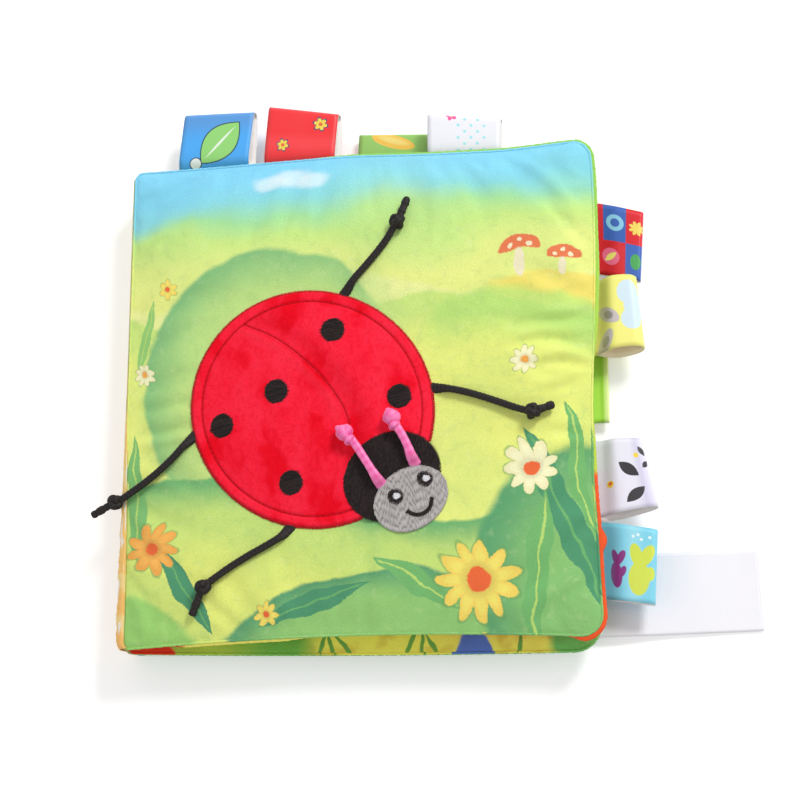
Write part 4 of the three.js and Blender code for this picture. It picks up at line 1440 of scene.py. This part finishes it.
def paint_light_blue_ribbon(cloth):
    cloth.plain(132, 214, 236)
    # A painted highlight in a band across the ribbon
    cloth.over(fade(size_of(cloth.x - 12), 4, 0), (164, 228, 244), 0.7)
    purple, lime = (140, 50, 130), (214, 228, 82)
    for place, size, degrees in (((6.4, -4.2), (2.0, 4.2), 4), ((6.0, 1.4), (1.1, 2.6), 16),
                                 ((7.8, 1.4), (1.2, 2.8), -28), ((8.5, -3.0), (1.0, 2.0), -24)):
        cloth.over(cloth.oval(place, size, degrees), purple)
    for place, size, degrees in (((13.8, -4.6), (3.4, 5.6), -4), ((12.8, 3.0), (1.9, 3.8), 12),
                                 ((16.2, 3.2), (1.9, 4.0), -26), ((17.2, -2.8), (1.6, 2.4), -10)):
        cloth.over(cloth.oval(place, size, degrees), lime)
    for place in ((11.8, 9.0), (13.3, 9.7), (14.3, 8.3), (16.9, 9.3)):
        cloth.over(cloth.oval(place, (0.5, 0.5)), (236, 250, 252))
    # Painted shade towards the sewn root
    cloth.over(fade(cloth.x, 7, 3), (60, 144, 164), 0.5)


ribbon_white, ribbon_cream = (250, 246, 244), (255, 240, 204)
for *row, measures in (
    ("ribbon_loop_blue", "tag_top_blue", "upper", "middle_leaf", "ribbon_blue", paint_blue_ribbon,
     ribbon_white, {"opening": 4.6, "reaches": (23.0, 22.2), "leans": (2.2, 2.2), "skew": 1.8,
                    "spread": 0.1}),
    ("ribbon_loop_red", "tag_top_red", "upper", "middle_leaf", "ribbon_red", paint_red_ribbon,
     ribbon_white, {"opening": 4.4, "reaches": (24.8, 20.0), "leans": (1.8, 1.6), "skew": 1.6,
                    "spread": 0.1}),
    ("ribbon_fold_green", "tag_top_green", "upper", "back_cover", "ribbon_green", paint_green_ribbon,
     ribbon_white, {"opening": 1.8, "reaches": (14.0, 12.4), "leans": (0.8, 0.0)}),
    ("ribbon_fold_dotted", "tag_top_white", "upper", "middle_leaf", "ribbon_white_dotted",
     paint_dotted_ribbon, ribbon_white, {"opening": 3.2, "reaches": (18.9, 15.2), "leans": (0.0, 0.4)}),
    ("ribbon_fold_checked", "tag_side_checked", "fore", "back_cover", "ribbon_checked", paint_checked_ribbon,
     ribbon_white, {"opening": 2.2, "reaches": (13.0, 14.6), "leans": (-1.9, -2.8), "root": 1.6}),
    ("ribbon_loop_yellow", "tag_side_yellow", "fore", "middle_leaf", "ribbon_yellow", paint_yellow_ribbon,
     ribbon_cream, {"opening": 5.6, "reaches": (15.4, 13.2), "leans": (1.6, 0.9), "spread": 1.0}),
    ("ribbon_fold_plain_green", "tag_side_green", "fore", "back_cover", "ribbon_plain_green",
     paint_plain_green_ribbon, ribbon_white, {"opening": 1.2, "reaches": (3.0, 3.0), "trim": 2}),
    ("ribbon_loop_blotched", "tag_side_white", "fore", "middle_leaf", "ribbon_white_blotched",
     paint_blotched_ribbon, ribbon_white,
     {"opening": 5.2, "reaches": (18.2, 13.4), "leans": (2.6, 0.0), "skew": 1.6, "spread": 0.2}),
    ("ribbon_loop_light_blue", "tag_side_light_blue", "fore", "middle_leaf", "ribbon_light_blue",
     paint_light_blue_ribbon, ribbon_white,
     {"opening": 3.6, "reaches": (15.2, 16.6), "leans": (-1.1, -2.0), "root": 1.2}),
):
    ribbon_tag(*row, **measures)


# Care label: a bare strip of white satin

def care_label():
    low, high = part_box("care_label")
    columns = 27
    rows = 61
    thickness = 0.22 * MM
    lying_height = 0.75 * MM
    stock_width_mm = 26
    tuck = 5.5 * MM
    length = high.x - low.x
    out = -tuck + (length + tuck) * np.arange(rows) / (rows - 1)
    out, across = np.meshgrid(out, np.arange(columns) / (columns - 1), indexing="ij")
    share = np.clip(out / length, 0, 1)
    drop = (1 + np.cos(math.pi * np.minimum(2 * share, 1))) / 2
    wave = 0.55 * np.sin(math.pi * share) ** 2
    twist = 0.35 * share * (across - 0.5) * np.sin(3 * share)
    curl = 0.5 * smooth_step(share, 0.86, 1) * (across - 0.3) ** 2
    x = low.x + out - 1.1 * MM * share * (0.6 + across)
    y = low.y + (high.y - low.y) * across - 0.9 * MM * (1 - share) * (1 - across)
    z = lying_height + (back_level - lying_height) * drop + (wave + twist + curl) * (1 - drop) * MM
    made = two_layer_piece("label_strip", in_rows(x, y, z), in_rows(x, y, z - thickness), (rows, columns),
                           places=in_rows(out / MM, (across - 0.5) * stock_width_mm))
    satin = cloth_material("label_satin", coloured(249, 247, 252), ribbed_weave, roughness=0.38, sheen=0.1,
                           grain=0.02, specular=0.4, relief_depth=0.02 * MM)
    finished(made, satin, "back_cover", "label_satin", "care_label")


care_label()


# The ladybird's plush, with its border ring and the seam between its wings
wing_seam = smooth_route(
    np.array([(-38.4, 24.7, 0), (-25.9, 18.1, 0), (-13.5, 7.4, 0), (-4.9, -3.9, 0), (-1.8, -11.5, 0)]) * MM,
    0.5 * MM,
)


def seam_offset(x, y):
    """How far a place is from the wing seam, positive on its lower left."""
    spots = in_rows(x, y)
    gaps = spots[:, None, :] - wing_seam[None, :, :2]
    distance = np.linalg.norm(gaps, axis=2)
    nearest = distance.argmin(axis=1)
    ways = np.gradient(wing_seam[:, :2], axis=0)[nearest]
    gap = gaps[np.arange(len(spots)), nearest]
    sign = np.sign(ways[:, 1] * gap[:, 0] - ways[:, 0] * gap[:, 1])
    return (-sign * distance.min(axis=1)).reshape(np.shape(x))


border_radius = plush_radius - plush_border


def plush_shape(angle):
    """The plush is a little longer from its upper left to its head than across."""
    return 1.001 - 0.015 * np.cos(angle) + 0.010 * np.cos(2 * angle) - 0.036 * np.sin(2 * angle)


def plush_reach(x, y):
    """How far a place is from the middle of the plush, as if the plush were round."""
    x, y = x - bug_middle.x, y - bug_middle.y
    return np.hypot(x, y) / plush_shape(np.arctan2(y, x))


def plush_height(x, y, grooves=True):
    """Height of the plush above the cover's top."""
    dent_depth = 0.22 * MM
    border_groove = 0.42 * MM
    wing_groove, wing_roll, wing_crease = 0.40 * MM, 0.18 * MM, 0.14 * MM
    rim_width, rim_drop = 1.1 * MM, 0.72 * MM
    x, y = np.asarray(x, float), np.asarray(y, float)
    radius = plush_reach(x, y)
    dome = plush_border_height + (plush_crown - plush_border_height) * (
        1 - np.minimum(radius / border_radius, 1) ** 2.6)
    dents = sum(
        np.sin((x * math.cos(turn) + y * math.sin(turn)) * 2 * math.pi / wave + turn * 3)
        for turn, wave in ((0.4, 23 * MM), (1.7, 31 * MM), (2.6, 17 * MM))
    ) / 3
    height = dome + dent_depth * dents * smooth_step(plush_radius - radius, 4 * MM, 12 * MM)
    if grooves:
        height = height - border_groove * near(radius - border_radius, 0.5)
        offset = seam_offset(x, y)
        height = height - wing_groove * near(offset, 0.5) + wing_roll * near(offset + 2.0 * MM, 1.6)
        height = height - wing_crease * near(offset + 0.9 * MM, 0.35)
    rim = np.maximum(radius - (plush_radius - rim_width), 0) / MM
    return height - rim_drop * np.minimum(rim, 1.2) ** 2


def disc_piece(name, radii, segments, height, bottom):
    """A closed round sheet about the ladybird's middle."""
    angles = round_angles(segments)
    tops = []
    for radius in radii:
        x = bug_middle.x + radius * plush_shape(angles) * np.cos(angles)
        y = bug_middle.y + radius * plush_shape(angles) * np.sin(angles)
        tops.append(in_rows(x, y, cover_top + height(x, y)))
    last = tops[-1] * (1, 1, 0) + (0, 0, cover_top + bottom)
    middle = np.array(bug_middle)
    centres = [
        (*middle, cover_top + height(middle[:1], middle[1:])[0]),
        (*middle, cover_top + bottom),
    ]
    points = np.vstack([*tops, last, centres])
    faces = []
    top_middle, low_middle = len(points) - 2, len(points) - 1
    for step in range(segments):
        after = (step + 1) % segments
        for ring in range(len(radii)):
            first, second = ring * segments, (ring + 1) * segments
            faces.append((first + step, second + step, second + after, first + after))
        faces.append((top_middle, step, after))
        faces.append((low_middle, len(radii) * segments + after, len(radii) * segments + step))
    made = mesh_object(name, points, faces)
    places_from_shape(made)
    return made


def paint_plush(cloth):
    cloth.plain(255, 38, 64)
    cloth.warp(0.2, 3.0)
    # Painted sheen: darker and lighter patches where the pile lies in other directions
    nap_sheen = cloth.noise(0.07, 4.0, offset=9, stretch=(1.3, 0.7, 1))
    cloth.over(fade(nap_sheen, 0.47, 0.64), (238, 8, 30), 0.9)
    cloth.over(fade(nap_sheen, 0.50, 0.36), (255, 48, 74), 0.6)
    cloth.over(fade(cloth.noise(0.55, 3.0, stretch=(1.6, 0.7, 1)), 0.46, 0.68), (236, 8, 32), 0.35)
    cloth.over(fade(cloth.noise(1.6, 3.0), 0.48, 0.68), (226, 4, 26), 0.3)
    # Painted shade along the plush's grooves and painted highlight beside them, read from the shade attribute
    shade = shade_term(cloth)
    cloth.over(fade(shade, 0.5, 0), (170, 2, 18), 0.8)
    cloth.over(fade(shade, 0.5, 1), (255, 62, 86), 0.7)


plush_material = cloth_material(
    "plush_red", paint_plush, pile, roughness=0.95, sheen=0.2, grain=0.09, grain_scale=2.4, specular=0.05,
    relief_depth=0.2 * MM, sheen_tint=linear(255, 110, 110),
)
plush_radii = np.concatenate([np.arange(1, 88) * 0.4, np.arange(35.1, plush_radius / MM + 0.05, 0.25)]) * MM
plush = disc_piece("ladybird_plush", plush_radii, 480, plush_height, 0.02 * MM)
plush_x, plush_y = mesh_points(plush.data).T[:2]
ring_distance = plush_reach(plush_x, plush_y) - border_radius
seam_distance = seam_offset(plush_x, plush_y)
inside_ring = smooth_step(ring_distance, 0.4 * MM, -0.4 * MM)
# The pile parts along the border ring and the wing seam: painted shade there and in a broad band on the
# seam's lower left, and painted highlight on the seam's upper right and on the border band
painted_groove_shade = 0.9 * near(ring_distance, 0.35) + near(seam_distance, 0.32) * inside_ring
painted_groove_shade += 0.5 * near(seam_distance + 0.9 * MM, 0.3) * inside_ring
painted_groove_shade += 0.35 * near(seam_distance - 4.5 * MM, 4.5) * inside_ring
painted_groove_highlight = near(seam_distance + 2.6 * MM, 2.4) * inside_ring + 0.25 * near(ring_distance - 1.8 * MM, 1.5)
set_shades(plush, np.clip(0.5 - 0.5 * painted_groove_shade + 0.2 * painted_groove_highlight * (1 - painted_groove_shade), 0, 1))
finished(plush, plush_material, "cover", "plush_red", "ladybird_shell")


def pad_height(x, y):
    rounding = smooth_step(pad_radius * 1.02 - plush_reach(x, y), 0, 4 * MM)
    return 0.55 * plush_height(x, y, grooves=False) * rounding + 0.1 * MM


bug_pad = disc_piece("ladybird_wadding", np.linspace(3 * MM, pad_radius, 12), 64, pad_height, 0.05 * MM)
finished(bug_pad, wadding_material, "cover", "padding", "ladybird_pad")


# Stitches: each one a short arched thread that dips into the cloth at both ends

def ground_sheet(rim, middle, height, first):
    """A thin closed sheet under an area of threads: its points, and its faces from that point number on."""
    middle = np.asarray(middle)
    rings = [middle + (rim - middle) * share for share in (1, 0.66, 0.33)]
    places = np.vstack([*rings, middle])
    levels = cover_top + height(places[:, 0], places[:, 1])
    points = []
    faces = []
    count = len(rim)
    for layer, rise in enumerate((0.05 * MM, -0.07 * MM)):
        start = first + layer * len(places)
        middle_ring, centre = start + 2 * count, start + 3 * count
        points += [(*place, level + rise) for place, level in zip(places, levels)]
        disc = ring_faces(3, count, start)
        disc += [(middle_ring + step, middle_ring + (step + 1) % count, centre) for step in range(count)]
        faces += [face[::-1] for face in disc] if layer else disc
    low = first + len(places)
    for step in range(count):
        after = (step + 1) % count
        faces.append((first + step, low + step, low + after, first + after))
    return points, faces


def stitches(name, threads, height, material, slot, nodes, thread_width=0.42 * MM, lift=0.17 * MM,
             seed=1, ground=None, shade_range=(0.1, 0.9), shaded_ends=0.0):
    """threads are pairs of end places. height gives the cloth's height above the cover's top."""
    draws = np.random.default_rng(seed)
    sides = 6
    shortest = 0.2 * MM
    ring_spacing = 0.8 * MM
    # Painted shade: the ground sheet under the threads takes this low shade, darker in the gaps between them
    painted_gap_shade = 0.2
    points = []
    faces = []
    shades = []
    angles = round_angles(sides)
    for start, end in threads:
        start, end = np.asarray(start, float), np.asarray(end, float)
        length = np.linalg.norm(end - start)
        if length < shortest:
            continue
        rings = max(4, int(length / ring_spacing) + 3)
        way = (end - start) / length
        across = np.array([-way[1], way[0]])
        shade = draws.uniform(*shade_range)
        first = len(points)
        marks = (1 - np.cos(np.linspace(0, math.pi, rings))) / 2
        route = start + (end - start) * marks[:, None]
        level = (cover_top + height(route[:, 0], route[:, 1]))[:, None]
        full = np.sin(math.pi * np.clip(marks, 0.04, 0.96))[:, None] ** 0.45
        side = thread_width / 2 * np.cos(angles) * full
        up = level + lift * full * 0.75 + lift * np.sin(angles) * full - lift * 0.35
        points.extend(in_rows(route[:, :1] + across[0] * side, route[:, 1:] + across[1] * side, up))
        # Painted shade towards each thread's ends, where it dips into the cloth
        shades.extend(np.repeat(shade * (1 - shaded_ends * (1 - full)), sides))
        faces += ring_faces(rings, sides, first)
        last = first + (rings - 1) * sides
        faces.append(tuple(reversed(range(first, first + sides))))
        faces.append(tuple(range(last, last + sides)))
    if ground is not None:
        ground_points, more_faces = ground_sheet(*ground, height, len(points))
        points += ground_points
        faces += more_faces
        shades += [painted_gap_shade] * len(ground_points)
    made = mesh_object(name, points, faces)
    places_from_shape(made)
    set_shades(made, shades)
    finished(made, material, "cover", slot, *nodes)


def filled_rows(inside, middle, reach, degrees, seed, pitch=0.4 * MM, stitch=3.4 * MM, ragged=0.22 * MM,
                scatter=0.06):
    """Rows of thread over an area: inside says for places whether they are in it."""
    draws = np.random.default_rng(seed)
    turn = math.radians(degrees)
    way = np.array([math.cos(turn), math.sin(turn)])
    across = np.array([-way[1], way[0]])
    marks = np.arange(-reach, reach, 0.12 * MM)
    row_shift = 0.38
    shortest = 0.8 * MM
    overlap = 0.05 * MM
    threads = []
    for number, offset in enumerate(np.arange(-reach, reach, pitch)):
        line = np.asarray(middle) + across * offset + way * marks[:, None]
        held = inside(line[:, 0], line[:, 1])
        edges = np.flatnonzero(np.diff(np.concatenate([[0], held.astype(int), [0]])))
        for start, end in zip(edges[::2], edges[1::2]):
            low = marks[start] - draws.uniform(0, ragged)
            high = marks[min(end, len(marks) - 1)] + draws.uniform(0, ragged)
            phase = (number * row_shift + draws.uniform(-scatter, scatter)) % 1 * stitch
            cuts = [low]
            cut = low + (phase if phase > shortest else stitch)
            while cut < high - shortest:
                cuts.append(cut)
                cut += stitch
            cuts.append(high)
            for a, b in zip(cuts[:-1], cuts[1:]):
                origin = np.asarray(middle) + across * offset
                threads.append((origin + way * (a - overlap), origin + way * (b + overlap)))
    return threads


def oval_inside(middle, radii, turn=0.0):
    def inside(x, y):
        across = (x - middle[0]) * math.cos(turn) + (y - middle[1]) * math.sin(turn)
        along = (y - middle[1]) * math.cos(turn) - (x - middle[0]) * math.sin(turn)
        return (across / radii[0]) ** 2 + (along / radii[1]) ** 2 < 1
    return inside


def oval_rim(middle, radii, turn=0.0, count=40):
    angles = round_angles(count)
    a, b = radii[0] * np.cos(angles), radii[1] * np.sin(angles)
    return in_rows(
        middle[0] + a * math.cos(turn) - b * math.sin(turn),
        middle[1] + a * math.sin(turn) + b * math.cos(turn),
    )


def thread_material(name, dark, light, roughness=0.55):
    return cloth_material(name, paint_thread(dark, light), fine_thread, roughness=roughness, sheen=0.05,
                          grain=0.05, relief_depth=0.03 * MM, specular=0.25)


black_thread = thread_material("thread_black", (12, 8, 8), (50, 37, 36), 0.75)
grey_thread = thread_material("thread_grey", (112, 107, 105), (204, 199, 197))
white_thread = thread_material("thread_white", (226, 224, 230), (250, 250, 252))
red_thread = thread_material("thread_red", (176, 6, 22), (216, 16, 36))
dark_red_thread = thread_material("seam_thread_red", (180, 4, 20), (206, 10, 30), 0.7)


def face_place(across_mm, above_mm):
    return np.array([
        head_middle.x + (across_mm * math.cos(head_turn) - above_mm * math.sin(head_turn)) * MM,
        head_middle.y + (across_mm * math.sin(head_turn) + above_mm * math.cos(head_turn)) * MM,
    ])


head_radii = np.array(head_radii_mm) * MM
collar_radii = np.array(collar_radii_mm) * MM
head_inside = oval_inside(head_middle, head_radii, head_turn)
collar_middle = face_place(*collar_middle_mm)
collar_oval = oval_inside(collar_middle, collar_radii, head_turn)
head_hole = oval_inside(head_middle, head_radii * 0.96, head_turn)


def round_stitches(name, radius, pitch, length, gap, width, material, slot, nodes, seed, radial):
    """Stitches round the ladybird's middle, across its edge or along its border line."""
    draws = np.random.default_rng(seed)
    count = round(2 * math.pi * radius / pitch)
    threads = []
    for step in range(count):
        angle = 2 * math.pi * step / count
        if radial:
            inner = radius - length / 2 + draws.uniform(-0.10, 0.10) * MM
            outer = radius + length / 2 + draws.uniform(-0.06, 0.10) * MM
            lean = draws.uniform(-0.003, 0.003)
            ends = [(inner, angle), (outer, angle + lean)]
        else:
            half = (pitch - gap) / 2 / radius
            ends = [(radius, angle - half), (radius, angle + half)]
        thread = [
            (bug_middle.x + plush_shape(a) * r * math.cos(a), bug_middle.y + plush_shape(a) * r * math.sin(a))
            for r, a in ends
        ]
        if not collar_oval(*thread[0]):
            threads.append(thread)
    stitches(name, threads, on_plush, material, slot, nodes, thread_width=width, seed=seed)


def on_plush(x, y):
    return np.maximum(plush_height(x, y), 0.2 * MM)


round_stitches("ladybird_overlock", plush_radius + 0.05 * MM, pitch=0.33 * MM, length=0.9 * MM, gap=0,
               width=0.4 * MM, material=red_thread, slot="thread_red", nodes=["ladybird_edge_stitch"],
               seed=31, radial=True)
round_stitches("ladybird_border_seam", border_radius, pitch=1.9 * MM, length=0, gap=0.5 * MM,
               width=0.36 * MM, material=dark_red_thread, slot="thread_red", nodes=[], seed=32, radial=False)
seam_stitch, seam_pitch = 3, 4
seam_threads = [
    (wing_seam[i][:2], wing_seam[min(i + seam_stitch, len(wing_seam) - 1)][:2])
    for i in range(0, len(wing_seam) - 1, seam_pitch)
]
stitches("ladybird_wing_seam", seam_threads, on_plush, dark_red_thread, "thread_red", [],
         thread_width=0.34 * MM, seed=33)

spot_places_mm = ((-7.9, 20.8), (-26.7, 0.6), (-45.3, -10), (14.5, -2.9), (-21.4, -30.3))
spot_radius = 4.1 * MM
for number, place in enumerate(spot_places_mm, 1):
    middle = np.array(place) * MM
    inside = oval_inside(middle, (spot_radius * 0.93, spot_radius))
    threads = filled_rows(inside, middle, 5 * MM, 4 + number * 3, 40 + number, pitch=0.42 * MM, stitch=9 * MM,
                          ragged=0.8 * MM)
    stitches(f"spot_{number}_stitches", threads, on_plush, black_thread, "cloth_black",
             [f"ladybird_spot_{number}"], seed=40 + number, lift=0.2 * MM,
             ground=(oval_rim(middle, (spot_radius * 0.95, spot_radius * 0.97)), middle))


# The head and its collar, sewn half on the plush and half on the cover

def head_ground(x, y):
    """What the head lies on: the plush, and past its edge a slope down to the cover."""
    beyond = (plush_reach(x, y) - plush_radius - 0.6 * MM) / (5 * MM)
    rest = np.maximum(plush_height(x, y, grooves=False), plush_border_height * 0.9)
    return rest * (1 - smooth_step(beyond, 0, 1)) + 0.15 * MM


def on_head(x, y):
    return head_ground(x, y) + 0.35 * MM


def collar_inside(x, y):
    return collar_oval(x, y) & ~head_hole(x, y)


# The collar and head threads are painted darker towards their ends: painted shade where they dip into the
# cloth
stitches("collar_stitches", filled_rows(collar_inside, collar_middle, 19 * MM, 72, 51, pitch=0.4 * MM,
                                        stitch=2.2 * MM), head_ground, black_thread, "cloth_black",
         ["ladybird_collar"], seed=51, lift=0.2 * MM, shaded_ends=0.3,
         ground=(oval_rim(collar_middle, collar_radii * 0.985, head_turn, 60), collar_middle))
stitches("head_stitches", filled_rows(head_inside, head_middle, 14 * MM, 98, 52, pitch=0.38 * MM,
                                      stitch=3.0 * MM, ragged=0.15 * MM, scatter=0.5), on_head, grey_thread,
         "thread_grey", ["ladybird_head"], seed=52, lift=0.18 * MM, shade_range=(0.72, 1), shaded_ends=0.55,
         ground=(oval_rim(head_middle, head_radii * 0.985, head_turn, 60), head_middle))


def on_face(x, y):
    return on_head(x, y) + 0.28 * MM


def on_eye(x, y):
    return on_face(x, y) + 0.22 * MM


eye_radius = 2.5 * MM
for side, across in (("left", -3.9), ("right", 7.2)):
    middle = face_place(across, 3.2)
    ring_threads = filled_rows(oval_inside(middle, (eye_radius, eye_radius)), middle, 3 * MM, 62, 60,
                               pitch=0.36 * MM, stitch=7 * MM, ragged=0.2 * MM)
    stitches(f"eye_{side}_stitches", ring_threads, on_face, black_thread, "thread_black",
             [f"ladybird_eye_{side}"], seed=61, lift=0.18 * MM)
    glint = middle + np.array([0.35, 0.1]) * MM
    glint_threads = filled_rows(oval_inside(glint, (1.15 * MM, 1.0 * MM)), glint, 1.5 * MM, 30, 62,
                                pitch=0.36 * MM, stitch=5 * MM, ragged=0.25 * MM)
    stitches(f"eye_{side}_glint", glint_threads, on_eye, white_thread, "thread_black", [], seed=63,
             lift=0.16 * MM)

smile_line = smooth_route(
    [(*face_place(*place), 0) for place in ((-3, -2.7), (-2.1, -4.4), (-0.4, -5.8), (2.1, -6.2), (4.2, -5.4),
                                            (6, -3.3))], 0.34 * MM)
smile_ways = unit_rows(np.gradient(smile_line[:, :2], axis=0))
smile_threads = []
smile_draws = np.random.default_rng(64)
for place, way in zip(smile_line[:, :2], smile_ways):
    half = (0.7 + smile_draws.uniform(-0.08, 0.1)) * MM
    across = np.array([-way[1], way[0]]) * half + way * 0.15 * MM
    smile_threads.append((place - across, place + across))
stitches("smile_stitches", smile_threads, on_face, black_thread, "thread_black", ["ladybird_smile"],
         seed=65, lift=0.2 * MM)

# Camera
camera_right = camera_ahead.cross(camera_up).normalized()
camera_top = camera_right.cross(camera_ahead).normalized()
camera_data = bpy.data.cameras.new("camera")
camera_data.lens = camera_lens_mm
camera_data.sensor_width = 36
camera = bpy.data.objects.new("camera", camera_data)
bpy.context.scene.collection.objects.link(camera)
camera.matrix_world = Matrix.Translation(camera_eye) @ Matrix((
    camera_right, camera_top, -camera_ahead.normalized(),
)).transposed().to_4x4()
bpy.context.scene.camera = camera


# Floor, lamps and world
def floor_piece():
    half = 1.6
    made = mesh_object("floor", [(-half, -half, 0), (half, -half, 0), (half, half, 0), (-half, half, 0)],
                       [(0, 1, 2, 3)], smooth=False)
    made.location.z = -0.05 * MM
    material, shader = new_material("floor", {
        "Base Color": (0.97, 0.97, 0.97, 1), "Roughness": 0.9, "Specular IOR Level": 0.1,
        "Emission Color": (1, 1, 1, 1),
    })
    paths = add_node(material.node_tree, "LightPath", {})
    glow = Term(material.node_tree, paths.outputs["Is Camera Ray"]) * 0.3
    feed(material.node_tree, shader.inputs["Emission Strength"], glow)
    made.data.materials.append(material)


def lamp(name, place, size, power):
    """A round lamp, turned to the object."""
    data = bpy.data.lights.new(name, "AREA")
    data.shape = "DISK"
    data.size = size
    data.energy = power
    made = bpy.data.objects.new(name, data)
    made.location = place
    made.rotation_euler = (-Vector(place)).to_track_quat("-Z", "Y").to_euler()
    bpy.context.scene.collection.objects.link(made)


floor_piece()
lamp("key", (0.75, 0.85, 0.95), 0.45, 13.0)
lamp("fill", (-0.9, -0.5, 1.2), 1.2, 2.5)

world_light = 0.55
world = bpy.data.worlds.new("studio")
bpy.context.scene.world = world
world.use_nodes = True
world_tree = world.node_tree
background = world_tree.nodes["Background"]
background.inputs["Color"].default_value = (1, 1, 1, 1)
paths = add_node(world_tree, "LightPath", {})
camera_ray, glossy_ray, transmission_ray = (
    Term(world_tree, paths.outputs[f"Is {kind} Ray"]) for kind in ("Camera", "Glossy", "Transmission")
)
seen = math_node("MAXIMUM", math_node("MAXIMUM", camera_ray, glossy_ray), transmission_ray)
feed(world_tree, background.inputs["Strength"], seen * (1 - world_light) + world_light)
bpy.context.scene.view_settings.view_transform = "Standard"
